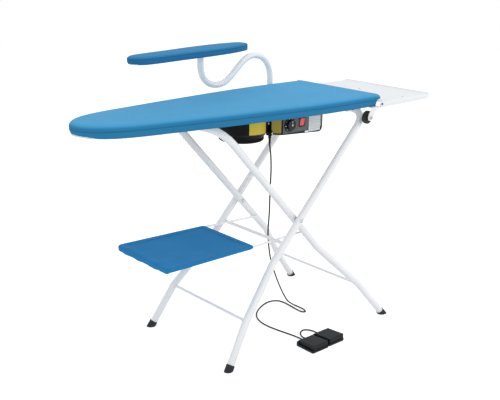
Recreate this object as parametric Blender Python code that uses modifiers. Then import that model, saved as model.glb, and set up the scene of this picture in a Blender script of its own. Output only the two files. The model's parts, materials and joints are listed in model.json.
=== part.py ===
"""A vacuum ironing table: a padded, heated suction board on folding scissor legs, with a sleeve board
on a bent arm, an iron tray, a shelf between the legs, a blower with its controls and two foot switches.

Metres, +Z up. +X points to the iron tray and -Y to the person who irons. While the parts are made, X is
measured from the board's square end and Y from its centre line. At the end the whole is moved so that
the origin is on the floor below the middle of its box, measured without the cords.
"""

import math

import bmesh
import bpy
from mathutils import Matrix, Vector

# Fits and cuts
GAP = 0.0003
PLAY = 0.0003
OVERRUN = 0.004
WELD = 0.00002

# Board: its outline is given as shares of its length from the nose and of its half width
BOARD_LENGTH = 1.194
BOARD_WIDTH = 0.435
BOARD_TOP = 0.900
BOARD_DEPTH = 0.043
BOARD_SHARES = (
    (0.0, 0.0),
    (0.006, 0.155),
    (0.026, 0.305),
    (0.06, 0.430),
    (0.12, 0.551),
    (0.25, 0.669),
    (0.5, 0.854),
    (0.75, 0.985),
    (0.93, 1.0),
    (0.974, 0.990),
    (0.992, 0.955),
    (1.0, 0.870),
)
COVER_SIDE = 0.0030
COVER_ROOF = 0.0030
COVER_HEM = 0.018
COVER_HEM_DEPTH = 0.003
COVER_CROWN = 0.0030
COVER_SHOULDER = 0.011
COVER_PIPING_DROP = 0.012
COVER_BEAD = 0.0013
PAD_DEPTH = 0.007
PLATE_DEPTH = 0.002
PLATE_HOLE_RADIUS = 0.0045
PLATE_HOLE_ROW = 0.055
PLATE_HOLES = 6
PLATE_HOLE_START = 0.140
PLATE_HOLE_END = 1.080
PAN_WALL = 0.002
PAN_INLET_RADIUS = 0.055
HEATER_RADIUS = 0.003
HEATER_SPACING = 0.064
HEATER_LONG_REACH = 0.985
HEATER_END = 0.070

# Legs: both frames meet their top tubes at one height and lean alike
PIVOT_X = -0.370
PIVOT_HEIGHT = 0.465
LEG_LEAN = math.radians(47.25)
TUBE_RADIUS = 0.014
OUTER_HALF_SPREAD = 0.179
INNER_HALF_SPREAD = 0.148
TOP_BEND = 0.065
TOP_BEND_RUN = 0.006
SPLAY_BEND = 0.055
OUTER_SPLAY_HEIGHT = 0.327
OUTER_KNEE_HEIGHT = 0.155
OUTER_KNEE_SPREAD = 0.215
OUTER_FOOT_REACH = 0.383
OUTER_FOOT_SPREAD = 0.2355
INNER_SPLAY_HEIGHT = 0.319
INNER_KNEE_HEIGHT = 0.152
INNER_KNEE_SPREAD = 0.236
INNER_FOOT_REACH = 0.415
INNER_FOOT_SPREAD = 0.266
LOW_ROD_RADIUS = 0.0055
TUBE_FOOT_LIFT = 0.011
FOOT_RADIUS = 0.0158
FOOT_LENGTH = 0.0220
FOOT_RIM = 0.0008
BOLT_RADIUS = 0.004
BOLT_HEAD_RADIUS = 0.008
BOLT_HEAD_DEPTH = 0.004
WASHER_RADIUS = 0.010

# Shelf: a wire loop with a sewn cloth, pinned in the inner legs and lying on a tube of the outer legs
SHELF_ARM = 0.102
SHELF_REST_ANGLE = math.radians(34.0)
SHELF_PIN_ANGLE = math.radians(43.0)
SHELF_REST_RADIUS = 0.007
SHELF_WIRE_RADIUS = 0.0045
SHELF_WIRE_ROOM = 0.0005
SHELF_WIRE_BEND = 0.010
SHELF_CORNER_BEND = 0.014
SHELF_PIN_TIP = 0.1445
SHELF_PIN_Y = 0.1245
SHELF_START_RUN = 0.260
SHELF_LENGTH = 0.390
SHELF_START_HALF = 0.1405
SHELF_END_HALF = 0.1505
SHELF_BEND_LEAD = 0.012
SHELF_ROLL_RADIUS = 0.0080
SHELF_CLOTH_DEPTH = 0.004
SHELF_SAG = 0.006
SHELF_COLUMNS = 8
SHELF_ROWS = 6

# Rack and clips under the pan
RACK_START = 0.645
RACK_END = 1.062
RACK_WIDTH = 0.060
RACK_DEPTH = 0.0115
RACK_WALL = 0.002
RACK_PLAY = 0.0005
RACK_NOTCH_PITCH = 0.036
RACK_NOTCH_LEAD = 0.030
RACK_NOTCH_WIDTH = 0.014
RACK_NOTCHES = 11
CLIP_Y = 0.075
CLIP_WIDTH = 0.026
CLIP_WALL = 0.002
CLIP_EAR = 0.034
CLIP_WRAP = math.radians(60.0)

# Blower: a round housing with a lower cap, fan and motor
BLOWER_X = -0.505
BLOWER_RADIUS = 0.098
BLOWER_WALL = 0.003
BLOWER_BOTTOM_DROP = 0.0825
BLOWER_LEDGE_DROP = 0.0680
BLOWER_LEDGE = 0.0080
BLOWER_ROUND = 0.005
BLOWER_MOUTH_RADIUS = 0.052
BLOWER_CAP_RADIUS = 0.081
BLOWER_CAP_BOTTOM_DROP = 0.1030
BLOWER_CAP_ROUND = 0.004
OUTLET_WIDTH = 0.060
OUTLET_BOTTOM_DROP = 0.0600
OUTLET_TOP_DROP = 0.0340
MOTOR_RADIUS = 0.042
MOTOR_DEPTH = 0.030
SHAFT_RADIUS = 0.004
SHAFT_LENGTH = 0.026
FAN_RADIUS = 0.076
FAN_HUB_RADIUS = 0.012
FAN_DISC_DEPTH = 0.003
FAN_BLADE_DEPTH = 0.019
FAN_BLADE_WIDTH = 0.003
FAN_BLADE_LENGTH = 0.044
FAN_BLADE_SWEEP = math.radians(32.0)
FAN_BLADES = 8
FAN_LIFT = 0.004

# Strap over the blower's front, with the round boss that holds the cord's gland
STRAP_TURN = math.radians(-62.0)
STRAP_WIDTH = 0.014
STRAP_DEPTH = 0.005
STRAP_BOTTOM_DROP = 0.0740
BOSS_RADIUS = 0.0095
BOSS_REACH = 0.118
BOSS_DROP = 0.0695
GLAND_REACH = 0.1095
GLAND_RADIUS = 0.0058
GLAND_BOTTOM_DROP = 0.0928
GLAND_TOP_DROP = 0.0795
GLAND_SHANK_RADIUS = 0.0035
GLAND_SHANK_TOP_DROP = 0.0720

# Control box beside the blower, with its panel, dial and switch
BOX_FRONT = 0.125
BOX_BACK = 0.012
BOX_SLOPE_START = 0.4485
BOX_SLOPE_DEPTH = 0.027
BOX_SLOPE_END = 0.4215
BOX_RIGHT = 0.212
BOX_LEFT_BOTTOM_DROP = 0.0755
BOX_RIGHT_BOTTOM_DROP = 0.0880
BOX_CORNER = 0.016
BOX_WALL = 0.003
BOX_HOLLOW_LEFT = 0.399
BOX_HOLLOW_BOTTOM_DROP = 0.0715
PANEL_DEPTH = 0.002
PANEL_LEFT = 0.417
PANEL_RIGHT = 0.286
PANEL_BOTTOM_DROP = 0.0735
PANEL_TOP_DROP = 0.0040
DIAL_X = -0.3845
DIAL_DROP = 0.0420
DIAL_RADIUS = 0.0195
DIAL_SKIRT_RADIUS = 0.0270
DIAL_SKIRT_DEPTH = 0.004
DIAL_DEPTH = 0.015
DIAL_ROUND = 0.002
DIAL_FLUTES = 8
DIAL_FLUTE_RADIUS = 0.0022
DIAL_SHAFT_RADIUS = 0.003
DIAL_SHAFT_LENGTH = 0.006
ROCKER_X = -0.323
ROCKER_DROP = 0.0385
ROCKER_WIDTH = 0.022
ROCKER_ARC = 0.0150
ROCKER_PIVOT_DEPTH = 0.004
ROCKER_VALLEY = 0.0060
ROCKER_FACE_ANGLE = math.radians(27.0)
ROCKER_BACK_ANGLE = math.radians(15.0)
ROCKER_TILT = math.radians(7.0)
ROCKER_PLAY = 0.0006
MAINS_Y = -0.065
MAINS_DROP = 0.0420
MAINS_RADIUS = 0.0085
MAINS_LENGTH = 0.018
MAINS_BORE_RADIUS = 0.0038
MAINS_BORE_DEPTH = 0.012

# Iron tray with its side brackets and transport wheels
TRAY_LENGTH = 0.297
TRAY_WIDTH = 0.454
TRAY_DROP = 0.025
TRAY_WALL = 0.0018
TRAY_FOLD = 0.005
TRAY_FLANGE_DEPTH = 0.023
TRAY_FLANGE_END_DEPTH = 0.018
TRAY_LIP = 0.0050
TRAY_LIP_LEAN = 0.003
TRAY_LIP_INSET = 0.003
BRACKET_WALL = 0.003
BRACKET_LEFT = -0.066
BRACKET_LENGTH = 0.088
BRACKET_BOTTOM_DROP = 0.0540
BRACKET_HEIGHT = 0.0635
BRACKET_SHARES = (
    (0.0, 0.17),
    (0.035, 0.06),
    (0.12, 0.0),
    (0.22, 0.03),
    (0.29, 0.13),
    (0.34, 0.33),
    (0.42, 0.53),
    (0.56, 0.66),
    (0.72, 0.705),
    (1.0, 0.72),
    (1.0, 1.0),
    (0.77, 1.0),
    (0.77, 0.80),
    (0.24, 0.80),
    (0.12, 0.62),
    (0.02, 0.38),
)
BRACKET_FOOT_LEFT = -0.044
BRACKET_FOOT_RIGHT = -0.004
BRACKET_FOOT_WIDTH = 0.050
BRACKET_FOOT_WALL = 0.0022
WHEEL_RADIUS = 0.025
WHEEL_WIDTH = 0.016
WHEEL_ROUND = 0.003
WHEEL_DISH = 0.003
WHEEL_RIM = 0.006
WHEEL_HUB_RADIUS = 0.009
AXLE_X = -0.0535
AXLE_RISE = 0.0125
AXLE_RADIUS = 0.004
AXLE_HEAD_RADIUS = 0.0065
AXLE_HEAD_DEPTH = 0.003
AXLE_END_DEPTH = 0.002
AXLE_COLLAR = 0.006

# Sleeve board on its bent arm, whose route is given in X and in height above its foot
ARM_Y = 0.240
ARM_FOOT_DROP = 0.0535
ARM_RADIUS = 0.0125
ARM_ROUTE = (
    (-0.1450, 0.0000),
    (-0.1450, 0.0535),
    (-0.1450, 0.1025),
    (-0.1490, 0.1435),
    (-0.1670, 0.1785),
    (-0.1950, 0.2015),
    (-0.2300, 0.2105),
    (-0.2650, 0.2060),
    (-0.2970, 0.1875),
    (-0.3260, 0.1625),
    (-0.3560, 0.1365),
    (-0.3900, 0.1155),
    (-0.4250, 0.1103),
    (-0.4600, 0.1175),
    (-0.4880, 0.1385),
    (-0.5020, 0.1685),
    (-0.5046, 0.1985),
    (-0.5046, 0.2235),
)
SOCKET_WALL = 0.003
SOCKET_RISE = 0.0025
SOCKET_TAB_WIDTH = 0.060
SOCKET_TAB_DEPTH = 0.060
SOCKET_TAB_WALL = 0.0022
SLEEVE_LENGTH = 0.6485
SLEEVE_WIDTH = 0.117
SLEEVE_NOSE_REACH = 0.3775
SLEEVE_HEADING = math.radians(11.9)
SLEEVE_LIFT = 0.005
SLEEVE_DEPTH = 0.0290
SLEEVE_SHARES = (
    (0.0, 0.0),
    (0.008, 0.26),
    (0.035, 0.54),
    (0.09, 0.76),
    (0.16, 0.83),
    (0.35, 0.88),
    (0.62, 1.0),
    (0.82, 0.90),
    (0.93, 0.69),
    (0.972, 0.55),
    (0.993, 0.37),
    (1.0, 0.20),
)
SLEEVE_SIDE = 0.0022
SLEEVE_ROOF = 0.0022
SLEEVE_HEM = 0.014
SLEEVE_HEM_DEPTH = 0.002
SLEEVE_CROWN = 0.0020
SLEEVE_SHOULDER = 0.008
SLEEVE_BEAD = 0.0010
SLEEVE_PLATE_DEPTH = 0.002
SADDLE_LENGTH = 0.110
SADDLE_WIDTH = 0.046

# Foot switches, side by side on the floor
PEDAL_LEFT = -0.4315
PEDAL_WIDTH = 0.084
PEDAL_SPACING = 0.0885
PEDAL_STEP = 0.003
PEDAL_FRONT = -0.3360
PEDAL_BACK = -0.2470
PEDAL_BASE_DEPTH = 0.009
PEDAL_CORNER = 0.005
EAR_WIDTH = 0.0045
EAR_RADIUS = 0.0050
PEDAL_PIN_HEIGHT = 0.0152
PEDAL_PIN_INSET = 0.008
PEDAL_PIN_RADIUS = 0.002
TREADLE_BOTTOM = 0.0125
TREADLE_FRONT_TOP = 0.0285
TREADLE_BACK_TOP = 0.0225
TREADLE_ROUND = 0.003
TREADLE_WALL = 0.0025
TREADLE_BACK_INSET = 0.0045
TREADLE_FRONT_INSET = 0.0006
TREADLE_PLAY = 0.0006
SWITCH_WIDTH = 0.012
SWITCH_LENGTH = 0.026
SWITCH_HEIGHT = 0.0105
SWITCH_INSET = 0.040
ENTRY_RADIUS = 0.0045
ENTRY_LENGTH = 0.007
ENTRY_HEIGHT = 0.0048
MAIN_ENTRY_X = -0.3860
LINK_EXIT_X = -0.3700
LINK_ENTRY_X = -0.3010

# Cords: the long one from the gland to the left switch, and the short one between the switches
CORD_RADIUS = 0.0025
CORD_ROUTE = (
    (-0.4536, -0.0967, 0.7669),
    (-0.4526, -0.0966, 0.7480),
    (-0.4444, -0.0945, 0.7120),
    (-0.4345, -0.0880, 0.6560),
    (-0.4280, -0.0800, 0.5920),
    (-0.4200, -0.0700, 0.5420),
    (-0.4105, -0.0600, 0.4880),
    (-0.4050, -0.0520, 0.4440),
    (-0.4000, -0.0440, 0.3990),
    (-0.3920, -0.0370, 0.3600),
    (-0.3790, -0.0290, 0.3150),
    (-0.3590, -0.0200, 0.2590),
    (-0.3310, -0.0100, 0.2040),
    (-0.2980, 0.0010, 0.1460),
    (-0.2640, 0.0130, 0.0950),
    (-0.2330, 0.0240, 0.0540),
    (-0.2080, 0.0300, 0.0240),
    (-0.1910, 0.0260, 0.0085),
    (-0.1830, 0.0080, 0.0031),
    (-0.1820, -0.0200, 0.0028),
    (-0.1850, -0.0450, 0.0028),
    (-0.1940, -0.0600, 0.0028),
    (-0.2045, -0.0550, 0.0028),
    (-0.2070, -0.0360, 0.0028),
    (-0.2050, -0.0050, 0.0028),
    (-0.2010, 0.0300, 0.0028),
    (-0.1990, 0.0600, 0.0028),
    (-0.2060, 0.0880, 0.0028),
    (-0.2280, 0.1040, 0.0028),
    (-0.2620, 0.1040, 0.0028),
    (-0.2980, 0.0920, 0.0028),
    (-0.3330, 0.0740, 0.0028),
    (-0.3650, 0.0490, 0.0028),
    (-0.3900, 0.0150, 0.0028),
    (-0.4030, -0.0250, 0.0028),
    (-0.4050, -0.0650, 0.0028),
    (-0.4000, -0.1080, 0.0028),
    (-0.3920, -0.1500, 0.0028),
    (-0.3860, -0.1900, 0.0034),
    (-0.3855, -0.2180, 0.0046),
    (-0.3860, -0.2397, 0.0048),
)
LINK_ROUTE = (
    (-0.3700, -0.2397, 0.0048),
    (-0.3690, -0.2200, 0.0044),
    (-0.3590, -0.1990, 0.0032),
    (-0.3420, -0.1820, 0.0028),
    (-0.3230, -0.1760, 0.0028),
    (-0.3080, -0.1860, 0.0030),
    (-0.3010, -0.2080, 0.0042),
    (-0.3010, -0.2367, 0.0048),
)

# Counts of faces and points
LEG_BEVEL_STEPS = 4
WIRE_BEVEL_STEPS = 2
ROUND_SIDES = 28
PLAIN_SIDES = 20
SMALL_SIDES = 12
BEND_STEPS = 4
OUTLINE_STEPS = 2
ARM_STEPS = 2
CORD_STEPS = 2
LINK_STEPS = 2
SMOOTH_ANGLE = math.radians(38.0)

# Shares of the crown and the shoulder where a fitted cover bends
CROWN_SHARE = 0.70
CROWN_RISE_SHARE = 0.15
SHOULDER_IN_SHARE = 0.30
SHOULDER_DROP_SHARE = 0.36

# Shares of a rounded edge, a screw's head, a bend and a wall
ROUND_SHARE = 0.3
HEAD_EDGE_SHARE = 0.8
HEAD_SIDE_SHARE = 0.5
BOLT_DOME_SHARE = 0.7
HEATER_BEND_SHARE = 0.45
TREADLE_SKIN_SHARE = 1.4

# Heights worked out from the board's top downwards
BOARD_BOTTOM = BOARD_TOP - BOARD_DEPTH
PAN_BOTTOM = BOARD_BOTTOM + COVER_HEM_DEPTH + GAP
MOUNT_HEIGHT = PAN_BOTTOM - GAP
HEM_MOUNT_HEIGHT = BOARD_BOTTOM - GAP
LEG_TOP_HEIGHT = MOUNT_HEIGHT - RACK_DEPTH - RACK_PLAY - TUBE_RADIUS
BLOWER_BOTTOM = MOUNT_HEIGHT - BLOWER_BOTTOM_DROP
BLOWER_LEDGE_HEIGHT = MOUNT_HEIGHT - BLOWER_LEDGE_DROP
BLOWER_CAP_BOTTOM = MOUNT_HEIGHT - BLOWER_CAP_BOTTOM_DROP
OUTLET_BOTTOM = MOUNT_HEIGHT - OUTLET_BOTTOM_DROP
OUTLET_TOP = MOUNT_HEIGHT - OUTLET_TOP_DROP
STRAP_BOTTOM = MOUNT_HEIGHT - STRAP_BOTTOM_DROP
BOSS_HEIGHT = MOUNT_HEIGHT - BOSS_DROP
GLAND_BOTTOM = MOUNT_HEIGHT - GLAND_BOTTOM_DROP
GLAND_TOP = MOUNT_HEIGHT - GLAND_TOP_DROP
GLAND_SHANK_TOP = MOUNT_HEIGHT - GLAND_SHANK_TOP_DROP
BOX_LEFT_BOTTOM = MOUNT_HEIGHT - BOX_LEFT_BOTTOM_DROP
BOX_RIGHT_BOTTOM = MOUNT_HEIGHT - BOX_RIGHT_BOTTOM_DROP
BOX_HOLLOW_BOTTOM = MOUNT_HEIGHT - BOX_HOLLOW_BOTTOM_DROP
PANEL_BOTTOM = MOUNT_HEIGHT - PANEL_BOTTOM_DROP
PANEL_TOP = MOUNT_HEIGHT - PANEL_TOP_DROP
DIAL_HEIGHT = MOUNT_HEIGHT - DIAL_DROP
ROCKER_HEIGHT = MOUNT_HEIGHT - ROCKER_DROP
MAINS_HEIGHT = MOUNT_HEIGHT - MAINS_DROP
BRACKET_BOTTOM = MOUNT_HEIGHT - BRACKET_BOTTOM_DROP
TRAY_TOP = BOARD_TOP - TRAY_DROP
TRAY_FLANGE_BOTTOM = TRAY_TOP - TRAY_FLANGE_DEPTH
TRAY_FLANGE_END = TRAY_TOP - TRAY_FLANGE_END_DEPTH
AXLE_HEIGHT = BRACKET_BOTTOM + AXLE_RISE
SOCKET_TOP = MOUNT_HEIGHT + SOCKET_RISE
ARM_FOOT = MOUNT_HEIGHT - ARM_FOOT_DROP
ARM_TOP = ARM_FOOT + ARM_ROUTE[-1][1]
SLEEVE_TOP = ARM_TOP + SLEEVE_LIFT + SLEEVE_DEPTH

PARTS = bpy.data.collections.new("vacuum_ironing_table")
CUTTERS = bpy.data.collections.new("cutters")


def clear_scene():
    for old in list(bpy.data.objects):
        bpy.data.objects.remove(old, do_unlink=True)
    bpy.context.scene.collection.children.link(PARTS)
    bpy.context.scene.collection.children.link(CUTTERS)


def make_material(name, colour, roughness, metallic=0.0):
    made = bpy.data.materials.new(name)
    made.use_nodes = True
    shader = made.node_tree.nodes["Principled BSDF"]
    shader.inputs["Base Color"].default_value = (*colour, 1.0)
    shader.inputs["Roughness"].default_value = roughness
    shader.inputs["Metallic"].default_value = metallic
    made.diffuse_color = (*colour, 1.0)
    return made


def add_part(name, mesh, look):
    """Puts a mesh in the parts' collection under its own name, with its material."""
    made = bpy.data.objects.new(name, mesh)
    mesh.name = name
    mesh.materials.clear()
    mesh.materials.append(look)
    mesh.shade_smooth()
    mesh.set_sharp_from_angle(angle=SMOOTH_ANGLE)
    PARTS.objects.link(made)
    return made


def add_cutter(name, mesh):
    made = bpy.data.objects.new(name, mesh)
    made.hide_render = True
    made.display_type = "WIRE"
    CUTTERS.objects.link(made)
    return made


def boolean(target, other, operation="DIFFERENCE"):
    step = target.modifiers.new(f"{operation.lower()} {other.name}", "BOOLEAN")
    step.operation = operation
    step.solver = "EXACT"
    step.object = other


def mesh_from(name, work):
    """Closes a bmesh job: faces turned outward, written to a new mesh and freed."""
    bmesh.ops.recalc_face_normals(work, faces=work.faces)
    mesh = bpy.data.meshes.new(name)
    work.to_mesh(mesh)
    work.free()
    return mesh


def slab_mesh(name, points, low, high, plane="XY"):
    """A flat outline given thickness along the axis that its plane leaves out."""
    places = {
        "XY": lambda u, v, depth: (u, v, depth),
        "XZ": lambda u, v, depth: (u, depth, v),
        "YZ": lambda u, v, depth: (depth, u, v),
    }
    place = places[plane]
    work = bmesh.new()
    lower = [work.verts.new(place(u, v, low)) for u, v in points]
    upper = [work.verts.new(place(u, v, high)) for u, v in points]
    work.faces.new(lower)
    work.faces.new(list(reversed(upper)))
    for i, corner in enumerate(lower):
        j = (i + 1) % len(lower)
        work.faces.new((corner, lower[j], upper[j], upper[i]))
    return mesh_from(name, work)


def box_mesh(name, low, high):
    """A box between two corners, starting from a unit cube."""
    low = Vector(low)
    high = Vector(high)
    work = bmesh.new()
    bmesh.ops.create_cube(work, size=1)
    bmesh.ops.scale(work, vec=high - low, verts=work.verts)
    bmesh.ops.translate(work, vec=(low + high) / 2, verts=work.verts)
    return mesh_from(name, work)


def cylinder_mesh(name, start, end, radius, sides=SMALL_SIDES):
    start = Vector(start)
    end = Vector(end)
    axis = end - start
    work = bmesh.new()
    bmesh.ops.create_cone(
        work, cap_ends=True, segments=sides, radius1=radius, radius2=radius, depth=axis.length
    )
    turn = Vector((0, 0, 1)).rotation_difference(axis.normalized()).to_matrix().to_4x4()
    place = Matrix.Translation((start + end) / 2) @ turn
    bmesh.ops.transform(work, matrix=place, verts=work.verts)
    return mesh_from(name, work)


def baked_mesh(source):
    """The evaluated mesh of an object in world space, its seams welded. The object goes."""
    bpy.context.view_layer.update()
    graph = bpy.context.evaluated_depsgraph_get()
    mesh = bpy.data.meshes.new_from_object(source.evaluated_get(graph))
    mesh.transform(source.matrix_world)
    work = bmesh.new()
    work.from_mesh(mesh)
    bmesh.ops.remove_doubles(work, verts=work.verts, dist=WELD)
    bmesh.ops.recalc_face_normals(work, faces=work.faces)
    work.to_mesh(mesh)
    work.free()
    bpy.data.objects.remove(source, do_unlink=True)
    return mesh


def turned_mesh(name, profile, place, sides=ROUND_SIDES):
    """Turns a profile of (radius, height) about Z, then puts it in its place."""
    flat = bpy.data.meshes.new(name)
    edges = [(i, i + 1) for i in range(len(profile) - 1)]
    if profile[0][0] > 0:
        edges.append((len(profile) - 1, 0))
    flat.from_pydata([(radius, 0, height) for radius, height in profile], edges, [])
    guide = add_cutter(name + "_profile", flat)
    screw = guide.modifiers.new("turn", "SCREW")
    screw.axis = "Z"
    screw.steps = sides
    screw.render_steps = sides
    screw.use_merge_vertices = True
    screw.merge_threshold = WELD
    mesh = baked_mesh(guide)
    mesh.transform(place)
    return mesh


def tube_mesh(name, points, radius, bevel=WIRE_BEVEL_STEPS):
    """A round bar along the points, made as a curve with filled caps and turned into a mesh."""
    data = bpy.data.curves.new(name, "CURVE")
    data.dimensions = "3D"
    data.bevel_depth = radius
    data.bevel_resolution = bevel
    data.use_fill_caps = True
    spline = data.splines.new("POLY")
    spline.points.add(len(points) - 1)
    for place, point in zip(spline.points, points):
        place.co = (*point, 1.0)
    return baked_mesh(add_cutter(name + "_path", data))


def bent(points, radius):
    """The points with each inner corner rounded to an arc of this radius."""
    points = [Vector(point) for point in points]
    route = [points[0]]
    for before, corner, after in zip(points, points[1:], points[2:]):
        to_before = (before - corner).normalized()
        to_after = (after - corner).normalized()
        half = to_before.angle(to_after) / 2
        run = radius / math.tan(half)
        centre = corner + (to_before + to_after).normalized() * (radius / math.sin(half))
        first = corner + to_before * run - centre
        last = corner + to_after * run - centre
        axis = first.cross(last).normalized()
        sweep = first.angle(last)
        for i in range(BEND_STEPS + 1):
            turn = Matrix.Rotation(sweep * i / BEND_STEPS, 3, axis)
            route.append(centre + turn @ first)
    route.append(points[-1])
    return route


def between(first, second, low, high, time):
    """The point that is as far between two others as this time is between two times."""
    share = (time - low) / (high - low)
    return first * (1 - share) + second * share


def smooth(points, steps, closed=False):
    """A smooth curve through the points, read at this many places in each stretch."""
    points = [Vector(point) for point in points]
    if closed:
        padded = [points[-1], *points, points[0], points[1]]
    else:
        padded = [points[0] * 2 - points[1], *points, points[-1] * 2 - points[-2]]
    made = []
    for a, b, c, d in zip(padded, padded[1:], padded[2:], padded[3:]):
        tb = math.sqrt((b - a).length)
        tc = tb + math.sqrt((c - b).length)
        td = tc + math.sqrt((d - c).length)
        for i in range(steps):
            time = tb + (tc - tb) * i / steps
            ab = between(a, b, 0, tb, time)
            bc = between(b, c, tb, tc, time)
            cd = between(c, d, tc, td, time)
            abc = between(ab, bc, 0, tc, time)
            bcd = between(bc, cd, tb, td, time)
            made.append(between(abc, bcd, tb, tc, time))
    if not closed:
        made.append(points[-1])
    return made


def outline(length, width, shares):
    """A board's closed outline from its nose at X 0 to its flat end, alike on both sides."""
    half = [Vector((along * length, across * width / 2, 0)) for along, across in shares]
    other = [Vector((point.x, -point.y, 0)) for point in reversed(half[1:])]
    whole = smooth(half + other, OUTLINE_STEPS, closed=True)
    return [Vector((min(point.x, length), point.y, 0)) for point in whole]


def inset(points, depth):
    """The outline moved in by this much, square to its own run at each point."""
    made = []
    for i, here in enumerate(points):
        along = (points[(i + 1) % len(points)] - points[i - 1]).normalized()
        made.append(Vector((here.x + along.y * depth, here.y - along.x * depth, 0)))
    return made


def shrunk(points, share):
    """The outline drawn in towards the middle of its length."""
    low = min(point.x for point in points)
    high = max(point.x for point in points)
    middle = Vector(((low + high) / 2, 0, 0))
    return [middle + (point - middle) * share for point in points]


def loft_mesh(name, rings, place):
    """Joins level rings of equal count, each (outline, height), and closes both ends."""
    work = bmesh.new()
    loops = [[work.verts.new((p.x, p.y, height)) for p in points] for points, height in rings]
    for lower, upper in zip(loops, loops[1:]):
        for i, corner in enumerate(lower):
            j = (i + 1) % len(lower)
            work.faces.new((corner, lower[j], upper[j], upper[i]))
    work.faces.new(loops[0])
    work.faces.new(loops[-1])
    mesh = mesh_from(name, work)
    mesh.transform(place)
    return mesh


def cover_mesh(name, edge, size, place):
    """A fitted cover: its inner roof and walls, its hem turned in below, its sides and its crown."""
    wall = size["side"] + size["bead"]
    roof = size["top"] - size["roof"]
    shoulder = size["top"] - size["crown"]
    inner_shoulder = roof - size["crown"]
    hem_top = size["bottom"] + size["hem_depth"]
    rise = size["crown"] * CROWN_RISE_SHARE
    rings = [
        (shrunk(inset(edge, size["hem"]), CROWN_SHARE), roof),
        (inset(edge, size["hem"]), roof - rise * 2),
        (inset(edge, size["shoulder"] + wall), inner_shoulder),
        (inset(edge, wall), inner_shoulder - size["shoulder"] * SHOULDER_DROP_SHARE),
        (inset(edge, wall), hem_top),
        (inset(edge, size["hem"]), hem_top),
        (inset(edge, size["hem"]), size["bottom"]),
        (inset(edge, wall), size["bottom"]),
        (inset(edge, size["bead"]), size["bottom"] + size["side"]),
    ]
    if size["piping_drop"] > 0:
        piping = size["top"] - size["piping_drop"]
        rings += [
            (inset(edge, size["bead"]), piping - size["bead"] * 2),
            (edge, piping),
            (inset(edge, size["bead"]), piping + size["bead"] * 2),
        ]
    rings += [
        (
            inset(edge, size["bead"] + size["shoulder"] * SHOULDER_IN_SHARE),
            shoulder - size["shoulder"] * SHOULDER_DROP_SHARE,
        ),
        (inset(edge, size["bead"] + size["shoulder"]), shoulder),
        (inset(edge, size["hem"] + size["side"]), size["top"] - rise * 2),
        (shrunk(inset(edge, size["hem"]), CROWN_SHARE), size["top"]),
    ]
    return loft_mesh(name, rings, place)


def pad_mesh(name, edge, size, pad_bottom, place):
    """The foam or felt below the cover's roof, down to its plate."""
    wall = size["side"] + size["bead"] + GAP
    roof = size["top"] - size["roof"] - GAP
    inner_shoulder = roof - size["crown"]
    rise = size["crown"] * CROWN_RISE_SHARE
    low_edge = inner_shoulder - size["shoulder"] * SHOULDER_DROP_SHARE - GAP
    rings = [
        (inset(edge, wall), pad_bottom),
        (inset(edge, wall), low_edge),
        (inset(edge, size["shoulder"] + wall), inner_shoulder),
        (inset(edge, size["hem"]), roof - rise * 2),
        (shrunk(inset(edge, size["hem"]), CROWN_SHARE), roof),
    ]
    return loft_mesh(name, rings, place)


def mirrored(points):
    """The same points on the other side of the centre line."""
    return [Vector((point[0], -point[1], point[2])) for point in points]


def arc(centre, radius, start, end, steps):
    """Points of a flat arc from one angle to another."""
    turns = [start + (end - start) * i / steps for i in range(steps + 1)]
    return [(centre[0] + radius * math.cos(t), centre[1] + radius * math.sin(t)) for t in turns]


def joint_empty(name, place, parent=None):
    """An empty on a joint's axis, which the moving pieces hang from."""
    made = bpy.data.objects.new(name, None)
    made.location = place
    PARTS.objects.link(made)
    if parent is not None:
        hang([made], parent)
    return made


def hang(children, parent):
    bpy.context.view_layer.update()
    for child in children:
        child.parent = parent
        child.matrix_parent_inverse = parent.matrix_world.inverted()
    bpy.context.view_layer.update()


def leg_x(height, side):
    """Where a leg frame is at this height: side is 1 for the outer frame and -1 for the inner."""
    return PIVOT_X + side * (height - PIVOT_HEIGHT) / math.tan(LEG_LEAN)


def leg_points(side, spread, knee_height, knee_spread, splay_height, foot_reach, foot_spread):
    """The far leg of a frame: foot, knee, splay, top corner and the end of its top bend."""
    top = leg_x(LEG_TOP_HEIGHT, side)
    return [
        Vector((PIVOT_X - side * foot_reach, foot_spread, 0)),
        Vector((leg_x(knee_height, side), knee_spread, knee_height)),
        Vector((leg_x(splay_height, side), spread, splay_height)),
        Vector((top, spread, LEG_TOP_HEIGHT)),
        Vector((top, spread - TOP_BEND - TOP_BEND_RUN, LEG_TOP_HEIGHT)),
    ]


def outer_leg_points():
    return leg_points(
        1,
        OUTER_HALF_SPREAD,
        OUTER_KNEE_HEIGHT,
        OUTER_KNEE_SPREAD,
        OUTER_SPLAY_HEIGHT,
        OUTER_FOOT_REACH,
        OUTER_FOOT_SPREAD,
    )


def inner_leg_points():
    return leg_points(
        -1,
        INNER_HALF_SPREAD,
        INNER_KNEE_HEIGHT,
        INNER_KNEE_SPREAD,
        INNER_SPLAY_HEIGHT,
        INNER_FOOT_REACH,
        INNER_FOOT_SPREAD,
    )


def leg_route(points):
    """The leg's centre line, its lower end lifted off the floor inside its rubber foot."""
    foot = points[0].lerp(points[1], TUBE_FOOT_LIFT / points[1].z)
    low = bent([foot, *points[1:4]], SPLAY_BEND)
    high = bent(points[2:], TOP_BEND)
    return low[:-1] + high[1:]


def pivot_hole(name, side):
    """A cutter through the outer and the inner tube of one side."""
    start = (PIVOT_X, side * (INNER_HALF_SPREAD - TUBE_RADIUS - OVERRUN), PIVOT_HEIGHT)
    end = (PIVOT_X, side * (OUTER_HALF_SPREAD + TUBE_RADIUS + OVERRUN), PIVOT_HEIGHT)
    return add_cutter(name, cylinder_mesh(name, start, end, BOLT_RADIUS + PLAY))


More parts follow.
